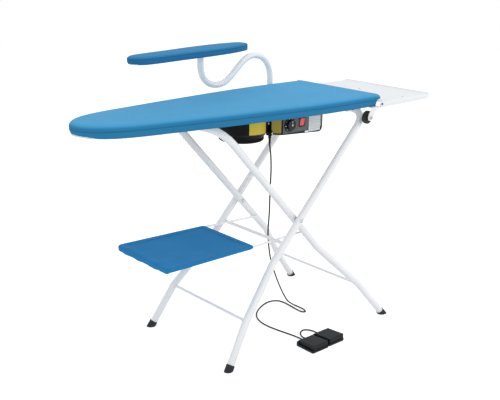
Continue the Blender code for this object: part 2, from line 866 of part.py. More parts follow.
def shelf_point(angle, side):
    """A point on the shelf's circle below the main pivot: side is -1 towards the nose."""
    across = side * SHELF_ARM * math.sin(angle)
    down = SHELF_ARM * math.cos(angle)
    return Vector((PIVOT_X + across, 0, PIVOT_HEIGHT - down))


def make_foot(name, points, look):
    """A rubber foot over the tube's end, cut flat where it stands."""
    foot = points[0]
    up = (points[1] - foot).normalized()
    top = foot + up * FOOT_LENGTH
    made = add_part(
        name, cylinder_mesh(name, foot - up * FOOT_RADIUS, top, FOOT_RADIUS, PLAIN_SIDES), look
    )
    rim = made.modifiers.new("rim", "BEVEL")
    rim.width = FOOT_RIM
    rim.segments = 1
    rim.limit_method = "ANGLE"
    tube_end = foot.lerp(points[1], TUBE_FOOT_LIFT / points[1].z)
    bore = cylinder_mesh(
        name, tube_end - up * GAP, top + up * OVERRUN, TUBE_RADIUS + GAP, PLAIN_SIDES
    )
    boolean(made, add_cutter(name + "_bore", bore))
    reach = FOOT_RADIUS * 3
    below = box_mesh(
        name, (foot.x - reach, foot.y - reach, -reach), (foot.x + reach, foot.y + reach, 0)
    )
    boolean(made, add_cutter(name + "_floor", below))
    return made


def make_cross_bar(name, x, height, half_length, radius, look, rooms, bevel=WIRE_BEVEL_STEPS):
    """A bar across a frame, its ends shaped to the two pieces that it is welded between."""
    ends = [(x, -half_length, height), (x, half_length, height)]
    bar = add_part(name, tube_mesh(name, ends, radius, bevel), look)
    for room in rooms:
        boolean(bar, room)
    return bar


def make_leg_frame(label, points, holes, rod_height, rod_spread, side, looks):
    """One frame: two legs, the tube that joins their tops, a low rod and two feet."""
    paint = looks["frame_paint"]
    made = []
    rooms = []
    for place, route in (("near", mirrored(points)), ("far", points)):
        name = f"{label}_leg_{place}"
        leg = add_part(name, tube_mesh(name, leg_route(route), TUBE_RADIUS, LEG_BEVEL_STEPS), paint)
        for hole in holes[place]:
            boolean(leg, hole)
        room = tube_mesh(name, leg_route(route), TUBE_RADIUS + GAP, LEG_BEVEL_STEPS)
        rooms.append(add_cutter(name + "_room", room))
        foot = make_foot(f"{label}_foot_{place}", route, looks["foot_rubber"])
        made += [leg, foot]
    top = leg_x(LEG_TOP_HEIGHT, side)
    half = points[-1].y - GAP
    name = f"{label}_top_tube"
    made.append(make_cross_bar(name, top, LEG_TOP_HEIGHT, half, TUBE_RADIUS, paint, [], LEG_BEVEL_STEPS))
    rod_x = leg_x(rod_height, side)
    name = f"{label}_low_rod"
    made.append(
        make_cross_bar(name, rod_x, rod_height, rod_spread, LOW_ROD_RADIUS, paint, rooms)
    )
    return made, rooms


def make_bolt(name, side, look):
    """A pivot bolt through both tubes of one side, with its head outside and its nut inside."""
    outside = OUTER_HALF_SPREAD + TUBE_RADIUS + GAP
    inside = INNER_HALF_SPREAD - TUBE_RADIUS - GAP
    profile = [
        (0, outside + BOLT_HEAD_DEPTH),
        (BOLT_HEAD_RADIUS * BOLT_DOME_SHARE, outside + BOLT_HEAD_DEPTH * HEAD_EDGE_SHARE),
        (BOLT_HEAD_RADIUS, outside),
        (BOLT_RADIUS, outside),
        (BOLT_RADIUS, inside),
        (BOLT_HEAD_RADIUS, inside),
        (BOLT_HEAD_RADIUS, inside - BOLT_HEAD_DEPTH),
        (0, inside - BOLT_HEAD_DEPTH),
    ]
    turn = Matrix.Rotation(math.radians(-90 * side), 4, "X")
    place = Matrix.Translation((PIVOT_X, 0, PIVOT_HEIGHT)) @ turn
    return add_part(name, turned_mesh(name, profile, place, SMALL_SIDES), look)


def make_washer(name, side, hole, look):
    """The spacer between the two tubes at a pivot bolt."""
    start = (PIVOT_X, side * (INNER_HALF_SPREAD + TUBE_RADIUS + GAP), PIVOT_HEIGHT)
    end = (PIVOT_X, side * (OUTER_HALF_SPREAD - TUBE_RADIUS - GAP), PIVOT_HEIGHT)
    washer = add_part(name, cylinder_mesh(name, start, end, WASHER_RADIUS, PLAIN_SIDES), look)
    boolean(washer, hole)
    return washer


def shelf_wire_half():
    """The level wire's corners on the far side, from its pin to the middle of the shelf's end."""
    pin = shelf_point(SHELF_PIN_ANGLE, 1)
    start = pin.x - SHELF_START_RUN
    bend = start + SHELF_BEND_LEAD
    end = start - SHELF_LENGTH + SHELF_ROLL_RADIUS
    return [
        Vector((pin.x, SHELF_PIN_TIP, pin.z)),
        Vector((pin.x, SHELF_PIN_Y, pin.z)),
        Vector((bend, SHELF_START_HALF, pin.z)),
        Vector((end, SHELF_END_HALF, pin.z)),
        Vector((end, 0, pin.z)),
    ]


def shelf_turn():
    """The small turn about its pins that lays the level shelf on the rest tube."""
    pin = shelf_point(SHELF_PIN_ANGLE, 1)
    rest = shelf_point(SHELF_REST_ANGLE, -1)
    lift = SHELF_REST_RADIUS + SHELF_WIRE_RADIUS + GAP
    drop = math.atan2(pin.z - rest.z, pin.x - rest.x)
    climb = math.asin(lift / (rest - pin).length) - drop
    return Matrix.Translation(pin) @ Matrix.Rotation(climb, 4, "Y") @ Matrix.Translation(-pin)


def shelf_wire_route(half):
    """The whole wire: round its corners on the far side, along the end and back on the near side."""
    side = bent(half[:4], SHELF_WIRE_BEND)
    corner = bent(half[2:], SHELF_CORNER_BEND)
    far = side[:-1] + corner[1:-1]
    return far + list(reversed(mirrored(far)))


def cloth_mesh(name, start, end, half_start, half_end, height):
    """The cloth between its rolled edges, hanging a little lower in its middle."""
    work = bmesh.new()
    rings = []
    for i in range(SHELF_COLUMNS + 1):
        along = i / SHELF_COLUMNS
        x = start + (end - start) * along
        half = half_start + (half_end - half_start) * along
        top = []
        low = []
        for j in range(SHELF_ROWS + 1):
            across = j / SHELF_ROWS * 2 - 1
            sag = SHELF_SAG * (1 - across**2) * (1 - (along * 2 - 1) ** 4)
            y = across * half
            top.append(work.verts.new((x, y, height - sag + SHELF_CLOTH_DEPTH / 2)))
            low.append(work.verts.new((x, y, height - sag - SHELF_CLOTH_DEPTH / 2)))
        rings.append(top + list(reversed(low)))
    for first, second in zip(rings, rings[1:]):
        for i, corner in enumerate(first):
            j = (i + 1) % len(first)
            work.faces.new((corner, first[j], second[j], second[i]))
    rows = SHELF_ROWS + 1
    for ring in (rings[0], rings[-1]):
        for j in range(SHELF_ROWS):
            work.faces.new((ring[j], ring[j + 1], ring[2 * rows - 2 - j], ring[2 * rows - 1 - j]))
    return mesh_from(name, work)


def make_shelf(looks):
    half = shelf_wire_half()
    route = shelf_wire_route(half)
    wire_mesh = tube_mesh("shelf_wire", route, SHELF_WIRE_RADIUS)
    wire = add_part("shelf_wire", wire_mesh, looks["frame_paint"])
    room_radius = SHELF_WIRE_RADIUS + SHELF_WIRE_ROOM
    room_mesh = tube_mesh("shelf_wire_room", route, room_radius)
    room = add_cutter("shelf_wire_room", room_mesh)
    pin = half[0]
    height = half[3].z
    start = pin.x - SHELF_START_RUN
    end = half[3].x
    cross_x = start - SHELF_ROLL_RADIUS
    paint = looks["frame_paint"]
    cross = make_cross_bar(
        "shelf_cross_wire", cross_x, height, SHELF_START_HALF, SHELF_WIRE_RADIUS, paint, [room]
    )
    cross_ends = [(cross_x, -SHELF_START_HALF, height), (cross_x, SHELF_START_HALF, height)]
    cross_room = add_cutter("shelf_cross_room", tube_mesh("cross", cross_ends, room_radius))
    cloth_shape = cloth_mesh("shelf_cloth", cross_x, end, SHELF_START_HALF, SHELF_END_HALF, height)
    cloth = add_part("shelf_cloth", cloth_shape, looks["shelf_cloth"])
    roll_route = [Vector((start, SHELF_START_HALF, height)), half[3], half[4]]
    roll_side = bent(roll_route, SHELF_CORNER_BEND)[:-1]
    rolled = roll_side + list(reversed(mirrored(roll_side)))
    roll = add_cutter("shelf_roll", tube_mesh("roll", rolled, SHELF_ROLL_RADIUS))
    cross_roll = add_cutter("shelf_cross_roll", tube_mesh("roll", cross_ends, SHELF_ROLL_RADIUS))
    boolean(cloth, roll, "UNION")
    boolean(cloth, cross_roll, "UNION")
    boolean(cloth, room)
    boolean(cloth, cross_room)
    for thing in (wire, cross, cloth, room, cross_room, roll, cross_roll):
        thing.matrix_world = shelf_turn()
    return [wire, cross, cloth]


def board_size():
    return {
        "top": BOARD_TOP,
        "bottom": BOARD_BOTTOM,
        "side": COVER_SIDE,
        "roof": COVER_ROOF,
        "hem": COVER_HEM,
        "hem_depth": COVER_HEM_DEPTH,
        "crown": COVER_CROWN,
        "shoulder": COVER_SHOULDER,
        "piping_drop": COVER_PIPING_DROP,
        "bead": COVER_BEAD,
    }


def make_plate_holes():
    """All the suction holes of the plate in one cutter."""
    work = bmesh.new()
    step = (PLATE_HOLE_END - PLATE_HOLE_START) / (PLATE_HOLES - 1)
    for i in range(PLATE_HOLES):
        for side in (-1, 1):
            x = -PLATE_HOLE_START - step * i
            place = Matrix.Translation((x, side * PLATE_HOLE_ROW, BOARD_TOP - BOARD_DEPTH / 2))
            bmesh.ops.create_cone(
                work,
                cap_ends=True,
                segments=SMALL_SIDES // 2,
                radius1=PLATE_HOLE_RADIUS,
                radius2=PLATE_HOLE_RADIUS,
                depth=BOARD_DEPTH,
                matrix=place,
            )
    return add_cutter("plate_holes", mesh_from("plate_holes", work))


def make_heater(plate_bottom, look):
    """A steel tube folded to and fro below the plate."""
    height = plate_bottom - GAP - HEATER_RADIUS
    near = -HEATER_SPACING * 3 / 2
    corners = []
    for i in range(4):
        y = near + HEATER_SPACING * i
        ends = [(-HEATER_END, y, height), (-HEATER_LONG_REACH, y, height)]
        if i % 2:
            ends.reverse()
        corners += ends
    route = bent(corners, HEATER_SPACING * HEATER_BEND_SHARE)
    return add_part("heating_element", tube_mesh("heating_element", route, HEATER_RADIUS), look)


def make_board(looks):
    """Cover, pad, suction plate, heating tube and pan, from the top down."""
    edge = outline(BOARD_LENGTH, BOARD_WIDTH, BOARD_SHARES)
    place = Matrix.Translation((-BOARD_LENGTH, 0, 0))
    size = board_size()
    cover = add_part("board_cover", cover_mesh("board_cover", edge, size, place), looks["board_cloth"])
    inner_roof = BOARD_TOP - COVER_ROOF - GAP - COVER_CROWN
    pad_bottom = inner_roof - PAD_DEPTH
    pad = add_part("board_pad", pad_mesh("board_pad", edge, size, pad_bottom, place), looks["felt"])
    inner = inset(edge, COVER_SIDE + COVER_BEAD + GAP)
    plate_top = pad_bottom - GAP
    plate_bottom = plate_top - PLATE_DEPTH
    plate_rings = [(inner, plate_bottom), (inner, plate_top)]
    plate_mesh = loft_mesh("suction_plate", plate_rings, place)
    plate = add_part("suction_plate", plate_mesh, looks["plate_metal"])
    boolean(plate, make_plate_holes())
    pan_inner = inset(edge, COVER_SIDE + COVER_BEAD + GAP + PAN_WALL)
    pan_top = plate_bottom - GAP
    pan_rings = [
        (pan_inner, PAN_BOTTOM + PAN_WALL),
        (pan_inner, pan_top),
        (inner, pan_top),
        (inner, PAN_BOTTOM),
    ]
    pan = add_part("board_pan", loft_mesh("board_pan", pan_rings, place), looks["pan_metal"])
    low = (BLOWER_X, 0, PAN_BOTTOM - OVERRUN)
    high = (BLOWER_X, 0, PAN_BOTTOM + PAN_WALL + OVERRUN)
    inlet = cylinder_mesh("pan_inlet", low, high, PAN_INLET_RADIUS, PLAIN_SIDES)
    boolean(pan, add_cutter("pan_inlet", inlet))
    heater = make_heater(plate_bottom, looks["heater_metal"])
    return [cover, pad, plate, pan, heater]


def make_rack(look):
    """A channel under the pan with a slot for each working height, over the inner frame's top tube."""
    bottom = LEG_TOP_HEIGHT + TUBE_RADIUS + RACK_PLAY
    half = RACK_WIDTH / 2
    channel = box_mesh("height_rack", (-RACK_END, -half, bottom), (-RACK_START, half, MOUNT_HEIGHT))
    rack = add_part("height_rack", channel, look)
    hollow = box_mesh(
        "rack_hollow",
        (-RACK_END + RACK_WALL, -half + RACK_WALL, bottom + RACK_WALL),
        (-RACK_START - RACK_WALL, half - RACK_WALL, MOUNT_HEIGHT + OVERRUN),
    )
    boolean(rack, add_cutter("rack_hollow", hollow))
    slots = bmesh.new()
    for i in range(RACK_NOTCHES):
        x = -RACK_START - RACK_NOTCH_LEAD - RACK_NOTCH_PITCH * i
        place = Matrix.Translation((x, 0, bottom))
        size = Matrix.Diagonal((RACK_NOTCH_WIDTH, RACK_WIDTH - RACK_WALL * 6, RACK_WALL * 4, 1))
        bmesh.ops.create_cube(slots, size=1, matrix=place @ size)
    boolean(rack, add_cutter("rack_slots", mesh_from("rack_slots", slots)))
    return rack


def make_clip(name, side, look):
    """A hook round the outer frame's top tube, its one ear fixed to the pan inside the hem."""
    x = leg_x(LEG_TOP_HEIGHT, 1)
    inner = TUBE_RADIUS + GAP
    outer = inner + CLIP_WALL
    ear = MOUNT_HEIGHT - CLIP_WALL
    centre = (x, LEG_TOP_HEIGHT)
    points = [(x - CLIP_EAR, MOUNT_HEIGHT), (x - CLIP_EAR, ear), (x - outer, ear)]
    points += arc(centre, outer, -math.pi, CLIP_WRAP, 12)
    points += arc(centre, inner, CLIP_WRAP, -math.pi, 12)
    points += [(x - inner, MOUNT_HEIGHT)]
    low = side * CLIP_Y - CLIP_WIDTH / 2
    return add_part(name, slab_mesh(name, points, low, low + CLIP_WIDTH, "XZ"), look)


def make_blower(looks):
    """The fixed pieces of the blower: housing, lower cap, motor and front strap."""
    place = Matrix.Translation((BLOWER_X, 0, 0))
    low_radius = BLOWER_RADIUS - BLOWER_LEDGE
    soft = BLOWER_ROUND * ROUND_SHARE
    bore = BLOWER_RADIUS - BLOWER_LEDGE - BLOWER_WALL
    housing_profile = [
        (BLOWER_RADIUS, MOUNT_HEIGHT),
        (BLOWER_RADIUS, BLOWER_LEDGE_HEIGHT),
        (low_radius, BLOWER_LEDGE_HEIGHT - BLOWER_LEDGE),
        (low_radius, BLOWER_BOTTOM + BLOWER_ROUND),
        (low_radius - soft, BLOWER_BOTTOM + soft),
        (low_radius - BLOWER_ROUND, BLOWER_BOTTOM),
        (BLOWER_MOUTH_RADIUS, BLOWER_BOTTOM),
        (BLOWER_MOUTH_RADIUS, BLOWER_BOTTOM + BLOWER_WALL),
        (bore - BLOWER_ROUND / 2, BLOWER_BOTTOM + BLOWER_WALL),
        (bore, BLOWER_BOTTOM + BLOWER_WALL + BLOWER_ROUND / 2),
        (bore, MOUNT_HEIGHT),
    ]
    housing = add_part(
        "blower_housing", turned_mesh("blower_housing", housing_profile, place), looks["motor_black"]
    )
    outlet = box_mesh(
        "blower_outlet",
        (BLOWER_X - OUTLET_WIDTH / 2, BLOWER_RADIUS / 2, OUTLET_BOTTOM),
        (BLOWER_X + OUTLET_WIDTH / 2, BLOWER_RADIUS + OVERRUN, OUTLET_TOP),
    )
    boolean(housing, add_cutter("blower_outlet", outlet))
    cap_top = BLOWER_BOTTOM - GAP
    cap_soft = BLOWER_CAP_ROUND * ROUND_SHARE
    cap_profile = [
        (0, cap_top),
        (BLOWER_CAP_RADIUS, cap_top),
        (BLOWER_CAP_RADIUS, BLOWER_CAP_BOTTOM + BLOWER_CAP_ROUND),
        (BLOWER_CAP_RADIUS - cap_soft, BLOWER_CAP_BOTTOM + cap_soft),
        (BLOWER_CAP_RADIUS - BLOWER_CAP_ROUND, BLOWER_CAP_BOTTOM),
        (0, BLOWER_CAP_BOTTOM),
    ]
    cap = add_part("blower_cap", turned_mesh("blower_cap", cap_profile, place), looks["motor_black"])
    motor_bottom = cap_top + GAP
    motor_top = motor_bottom + MOTOR_DEPTH
    motor_profile = [
        (0, motor_top + SHAFT_LENGTH),
        (SHAFT_RADIUS, motor_top + SHAFT_LENGTH),
        (SHAFT_RADIUS, motor_top),
        (MOTOR_RADIUS - BLOWER_ROUND / 2, motor_top),
        (MOTOR_RADIUS, motor_top - BLOWER_ROUND / 2),
        (MOTOR_RADIUS, motor_bottom),
        (0, motor_bottom),
    ]
    motor_mesh = turned_mesh("blower_motor", motor_profile, place, PLAIN_SIDES)
    motor = add_part("blower_motor", motor_mesh, looks["motor_metal"])
    half = STRAP_WIDTH / 2 / BLOWER_RADIUS
    inner = BLOWER_RADIUS + GAP
    centre = (BLOWER_X, 0)
    strap_points = arc(centre, inner, STRAP_TURN - half, STRAP_TURN + half, 3)
    strap_points += arc(centre, inner + STRAP_DEPTH, STRAP_TURN + half, STRAP_TURN - half, 3)
    strap_mesh = slab_mesh("blower_strap", strap_points, STRAP_BOTTOM, MOUNT_HEIGHT)
    strap = add_part("blower_strap", strap_mesh, looks["motor_black"])
    boolean(strap, make_boss("strap_boss", inner, BOSS_REACH, BOSS_RADIUS), "UNION")
    gland = (*gland_place(), GLAND_TOP - OVERRUN)
    gland_end = (*gland_place(), GLAND_SHANK_TOP + GAP)
    gland_hole = cylinder_mesh("gland_hole", gland, gland_end, GLAND_SHANK_RADIUS + GAP)
    boolean(strap, add_cutter("gland_hole", gland_hole))
    return [housing, cap, motor, strap]


def gland_place():
    """Where the gland hangs, in X and Y, below the strap's boss."""
    x = BLOWER_X + GLAND_REACH * math.cos(STRAP_TURN)
    return x, GLAND_REACH * math.sin(STRAP_TURN)


def make_boss(name, start, end, radius):
    """A round bar that points straight out from the blower's axis at the strap's foot."""
    out = Vector((math.cos(STRAP_TURN), math.sin(STRAP_TURN), 0))
    axis = Vector((BLOWER_X, 0, BOSS_HEIGHT))
    mesh = cylinder_mesh(name, axis + out * start, axis + out * end, radius, PLAIN_SIDES)
    return add_cutter(name, mesh)


def make_fan(look):
    """A hub, a disc and swept blades on the motor's shaft."""
    bottom = BLOWER_BOTTOM + MOTOR_DEPTH + FAN_LIFT
    top = bottom + FAN_DISC_DEPTH + FAN_BLADE_DEPTH
    bore = SHAFT_RADIUS + PLAY
    place = Matrix.Translation((BLOWER_X, 0, 0))
    profile = [
        (FAN_HUB_RADIUS, top),
        (FAN_HUB_RADIUS, bottom + FAN_DISC_DEPTH),
        (FAN_RADIUS, bottom + FAN_DISC_DEPTH),
        (FAN_RADIUS, bottom),
        (bore, bottom),
        (bore, top),
    ]
    fan = add_part("blower_fan", turned_mesh("blower_fan", profile, place), look)
    blades = bmesh.new()
    reach = FAN_RADIUS - FAN_BLADE_LENGTH / 2 - FAN_BLADE_WIDTH * 2
    middle = bottom + FAN_DISC_DEPTH / 2 + FAN_BLADE_DEPTH / 2
    for i in range(FAN_BLADES):
        spin = Matrix.Rotation(math.tau * i / FAN_BLADES, 4, "Z")
        sweep = Matrix.Rotation(FAN_BLADE_SWEEP, 4, "Z")
        size = Matrix.Diagonal((FAN_BLADE_LENGTH, FAN_BLADE_WIDTH, FAN_BLADE_DEPTH, 1))
        out = Matrix.Translation((reach, 0, middle))
        bmesh.ops.create_cube(blades, size=1, matrix=place @ spin @ out @ sweep @ size)
    boolean(fan, add_cutter("fan_blades", mesh_from("fan_blades", blades)), "UNION")
    return fan


def make_control_box(looks):
    """The box beside the blower, open at its top against the pan, and its front panel."""
    left = -BOX_SLOPE_START
    face = [
        (left, MOUNT_HEIGHT),
        (left, BOX_LEFT_BOTTOM),
        (-BOX_RIGHT - BOX_CORNER, BOX_RIGHT_BOTTOM),
        (-BOX_RIGHT - BOX_CORNER * ROUND_SHARE, BOX_RIGHT_BOTTOM + BOX_CORNER * ROUND_SHARE),
        (-BOX_RIGHT, BOX_RIGHT_BOTTOM + BOX_CORNER),
        (-BOX_RIGHT, MOUNT_HEIGHT),
    ]
    plan = [
        (left - OVERRUN, -BOX_FRONT + BOX_SLOPE_DEPTH),
        (left, -BOX_FRONT + BOX_SLOPE_DEPTH),
        (-BOX_SLOPE_END, -BOX_FRONT),
        (OVERRUN, -BOX_FRONT),
        (OVERRUN, BOX_BACK),
        (left - OVERRUN, BOX_BACK),
    ]
    low = BLOWER_CAP_BOTTOM - OVERRUN
    high = MOUNT_HEIGHT + OVERRUN
    shell_mesh = slab_mesh("control_box", face, -BOX_FRONT - OVERRUN, BOX_BACK, "XZ")
    box = add_part("control_box", shell_mesh, looks["box_black"])
    boolean(box, add_cutter("box_plan", slab_mesh("box_plan", plan, low, high)), "INTERSECT")
    room_ends = [(BLOWER_X, 0, low), (BLOWER_X, 0, high)]
    room = cylinder_mesh("blower_room", *room_ends, BLOWER_RADIUS + GAP, ROUND_SIDES)
    boolean(box, add_cutter("blower_room", room))
    hollow = box_mesh(
        "box_hollow",
        (-BOX_HOLLOW_LEFT, -BOX_FRONT + BOX_WALL, BOX_HOLLOW_BOTTOM),
        (-BOX_RIGHT - BOX_WALL, BOX_BACK - BOX_WALL, high),
    )
    boolean(box, add_cutter("box_hollow", hollow))
    back = -BOX_FRONT - GAP
    front = back - PANEL_DEPTH
    panel_low = (-PANEL_LEFT, front, PANEL_BOTTOM)
    panel_mesh = box_mesh("control_panel", panel_low, (-PANEL_RIGHT, back, PANEL_TOP))
    panel = add_part("control_panel", panel_mesh, looks["panel_grey"])
    shaft_start = (DIAL_X, front - OVERRUN, DIAL_HEIGHT)
    shaft_end = (DIAL_X, -BOX_FRONT + BOX_WALL + OVERRUN, DIAL_HEIGHT)
    shaft_hole = cylinder_mesh("dial_hole", shaft_start, shaft_end, DIAL_SHAFT_RADIUS + PLAY)
    reach = ROCKER_ARC + ROCKER_PLAY
    half = ROCKER_WIDTH / 2 + ROCKER_PLAY
    window = box_mesh(
        "rocker_window",
        (ROCKER_X - half, front - OVERRUN, ROCKER_HEIGHT - reach),
        (ROCKER_X + half, -BOX_FRONT + BOX_WALL + OVERRUN, ROCKER_HEIGHT + reach),
    )
    mains_bore = cylinder_mesh(
        "mains_hole",
        (-BOX_RIGHT - BOX_WALL - OVERRUN, MAINS_Y, MAINS_HEIGHT),
        (-BOX_RIGHT + OVERRUN, MAINS_Y, MAINS_HEIGHT),
        MAINS_BORE_RADIUS + GAP + BOX_WALL / 2,
    )
    for mesh in (shaft_hole, window):
        cutter = add_cutter(mesh.name, mesh)
        boolean(box, cutter)
        boolean(panel, cutter)
    boolean(box, add_cutter("mains_hole", mains_bore))
    boolean(box, make_boss("boss_room", BLOWER_RADIUS, BOSS_REACH + OVERRUN, BOSS_RADIUS + GAP))
    return [box, panel]


def make_dial(look):
    """The fluted knob on its shaft, turned about Y, with its front towards -Y."""
    skirt_back = GAP
    skirt_front = DIAL_SKIRT_DEPTH
    shaft = -PANEL_DEPTH - GAP - BOX_WALL - DIAL_SHAFT_LENGTH
    profile = [
        (0, DIAL_DEPTH),
        (DIAL_RADIUS - DIAL_ROUND, DIAL_DEPTH),
        (DIAL_RADIUS, DIAL_DEPTH - DIAL_ROUND),
        (DIAL_RADIUS, skirt_front),
        (DIAL_SKIRT_RADIUS, skirt_front - DIAL_ROUND / 2),
        (DIAL_SKIRT_RADIUS, skirt_back),
        (DIAL_SHAFT_RADIUS, skirt_back),
        (DIAL_SHAFT_RADIUS, shaft),
        (0, shaft),
    ]
    front = -BOX_FRONT - GAP - PANEL_DEPTH
    turn = Matrix.Rotation(math.radians(90), 4, "X")
    place = Matrix.Translation((DIAL_X, front, DIAL_HEIGHT)) @ turn
    dial = add_part("dial_knob", turned_mesh("dial_knob", profile, place), look)
    flutes = bmesh.new()
    for i in range(DIAL_FLUTES):
        angle = math.tau * (i + 1 / 2) / DIAL_FLUTES
        x = DIAL_X + DIAL_RADIUS * math.cos(angle)
        z = DIAL_HEIGHT + DIAL_RADIUS * math.sin(angle)
        y = front - DIAL_SKIRT_DEPTH - DIAL_DEPTH / 2
        bmesh.ops.create_cone(
            flutes,
            cap_ends=True,
            segments=SMALL_SIDES // 2,
            radius1=DIAL_FLUTE_RADIUS,
            radius2=DIAL_FLUTE_RADIUS,
            depth=DIAL_DEPTH,
            matrix=Matrix.Translation((x, y, z)) @ turn,
        )
    boolean(dial, add_cutter("dial_flutes", mesh_from("dial_flutes", flutes)))
    return dial


def rocker_axis():
    return Vector((ROCKER_X, -BOX_FRONT - GAP - PANEL_DEPTH + ROCKER_PIVOT_DEPTH, ROCKER_HEIGHT))


def make_rocker(look):
    """The lit switch, a shallow V in front with round ends about its own axis, tilted to off."""
    axis = rocker_axis()
    quarter = math.pi / 2
    points = [(-ROCKER_VALLEY, 0)]
    points += arc((0, 0), ROCKER_ARC, quarter + ROCKER_FACE_ANGLE, quarter - ROCKER_BACK_ANGLE, 4)
    points += arc((0, 0), ROCKER_ARC, -quarter + ROCKER_BACK_ANGLE, -quarter - ROCKER_FACE_ANGLE, 4)
    half = ROCKER_WIDTH / 2
    mesh = slab_mesh("power_rocker", points, -half, half, "YZ")
    mesh.transform(Matrix.Translation(axis) @ Matrix.Rotation(ROCKER_TILT, 4, "X"))
    return add_part("power_rocker", mesh, look)


def make_glands(looks):
    """The foot switch cord's gland below the strap's boss, and the mains cord's inlet in the box's end."""
    profile = [
        (0, GLAND_SHANK_TOP),
        (GLAND_SHANK_RADIUS, GLAND_SHANK_TOP),
        (GLAND_SHANK_RADIUS, GLAND_TOP),
        (GLAND_RADIUS, GLAND_TOP),
        (GLAND_RADIUS, (GLAND_TOP + GLAND_BOTTOM) / 2),
        (GLAND_SHANK_RADIUS, GLAND_BOTTOM),
        (0, GLAND_BOTTOM),
    ]
    place = Matrix.Translation((*gland_place(), 0))
    gland_mesh = turned_mesh("cord_gland", profile, place, PLAIN_SIDES)
    gland = add_part("cord_gland", gland_mesh, looks["box_black"])
    shank = MAINS_BORE_RADIUS + BOX_WALL / 2
    inlet_profile = [
        (0, MAINS_LENGTH - MAINS_BORE_DEPTH),
        (MAINS_BORE_RADIUS, MAINS_LENGTH - MAINS_BORE_DEPTH),
        (MAINS_BORE_RADIUS, MAINS_LENGTH),
        (MAINS_RADIUS - BOX_WALL, MAINS_LENGTH),
        (MAINS_RADIUS, GAP + BOX_WALL),
        (MAINS_RADIUS, GAP),
        (shank, GAP),
        (shank, -BOX_WALL * 2),
        (0, -BOX_WALL * 2),
    ]
    turn = Matrix.Rotation(math.radians(90), 4, "Y")
    inlet_place = Matrix.Translation((-BOX_RIGHT, MAINS_Y, MAINS_HEIGHT)) @ turn
    inlet_mesh = turned_mesh("mains_gland", inlet_profile, inlet_place, PLAIN_SIDES)
    return [gland, add_part("mains_gland", inlet_mesh, looks["box_black"])]


def tray_section(flange_bottom):
    """The tray's section across, a plate with both sides folded down, as (Y, Z) points."""
    half = TRAY_WIDTH / 2
    outer = TRAY_FOLD
    inner = TRAY_FOLD - TRAY_WALL
    level = TRAY_TOP - TRAY_FOLD
    points = [(-half, flange_bottom)]
    points += arc((-half + outer, level), outer, math.pi, math.pi / 2, 3)
    points += arc((half - outer, level), outer, math.pi / 2, 0, 3)
    points += [(half, flange_bottom), (half - TRAY_WALL, flange_bottom)]
    points += arc((half - outer, level), inner, 0, math.pi / 2, 3)
    points += arc((-half + outer, level), inner, math.pi / 2, math.pi, 3)
    points += [(-half + TRAY_WALL, flange_bottom)]
    return points


def make_tray(look):
    """The folded plate and the lip turned up at its outer end."""
    work = bmesh.new()
    near_end = [work.verts.new((GAP * 2, y, z)) for y, z in tray_section(TRAY_FLANGE_BOTTOM)]
    far_end = [work.verts.new((TRAY_LENGTH, y, z)) for y, z in tray_section(TRAY_FLANGE_END)]
    for i, corner in enumerate(near_end):
        j = (i + 1) % len(near_end)
        work.faces.new((corner, near_end[j], far_end[j], far_end[i]))
    work.faces.new(near_end)
    work.faces.new(far_end)
    tray = add_part("iron_tray", mesh_from("iron_tray", work), look)
    top = TRAY_TOP + TRAY_LIP
    low = TRAY_TOP - TRAY_WALL
    lip_points = [
        (TRAY_LENGTH - TRAY_FOLD, low),
        (TRAY_LENGTH, low),
        (TRAY_LENGTH + TRAY_LIP_LEAN / 2, TRAY_TOP),
        (TRAY_LENGTH + TRAY_LIP_LEAN, top),
        (TRAY_LENGTH + TRAY_LIP_LEAN - TRAY_WALL, top),
        (TRAY_LENGTH - TRAY_WALL, TRAY_TOP + TRAY_WALL),
        (TRAY_LENGTH - TRAY_FOLD, TRAY_TOP),
    ]
    half = TRAY_WIDTH / 2 - TRAY_LIP_INSET
    lip = add_cutter("tray_lip", slab_mesh("tray_lip", lip_points, -half, half, "XZ"))
    boolean(tray, lip, "UNION")
    return tray


def make_bracket(name, side, look):
    """A side plate from the tray's flange down to the wheel, with a foot under the board's hem."""
    outside = TRAY_WIDTH / 2 - TRAY_WALL - GAP
    inside = outside - BRACKET_WALL
    points = [
        (BRACKET_LEFT + across * BRACKET_LENGTH, BRACKET_BOTTOM + up * BRACKET_HEIGHT)
        for across, up in BRACKET_SHARES
    ]
    low, high = sorted((side * inside, side * outside))
    bracket = add_part(name, slab_mesh(name, points, low, high, "XZ"), look)
    foot_inner = outside - BRACKET_FOOT_WIDTH
    foot_low, foot_high = sorted((side * foot_inner, side * (inside + BRACKET_WALL / 2)))
    foot = box_mesh(
        name,
        (BRACKET_FOOT_LEFT, foot_low, HEM_MOUNT_HEIGHT - BRACKET_FOOT_WALL),
        (BRACKET_FOOT_RIGHT, foot_high, HEM_MOUNT_HEIGHT),
    )
    boolean(bracket, add_cutter(name + "_foot", foot), "UNION")
    bore_start = (AXLE_X, low - OVERRUN, AXLE_HEIGHT)
    bore_end = (AXLE_X, high + OVERRUN, AXLE_HEIGHT)
    bore = cylinder_mesh(name, bore_start, bore_end, AXLE_RADIUS + PLAY)
    boolean(bracket, add_cutter(name + "_bore", bore))
    return bracket


def wheel_side_place(side):
    """The frame of a wheel and its axle: Z along the axle, outward, from the centre line."""
    turn = Matrix.Rotation(math.radians(-90 * side), 4, "X")
    return Matrix.Translation((AXLE_X, 0, AXLE_HEIGHT)) @ turn


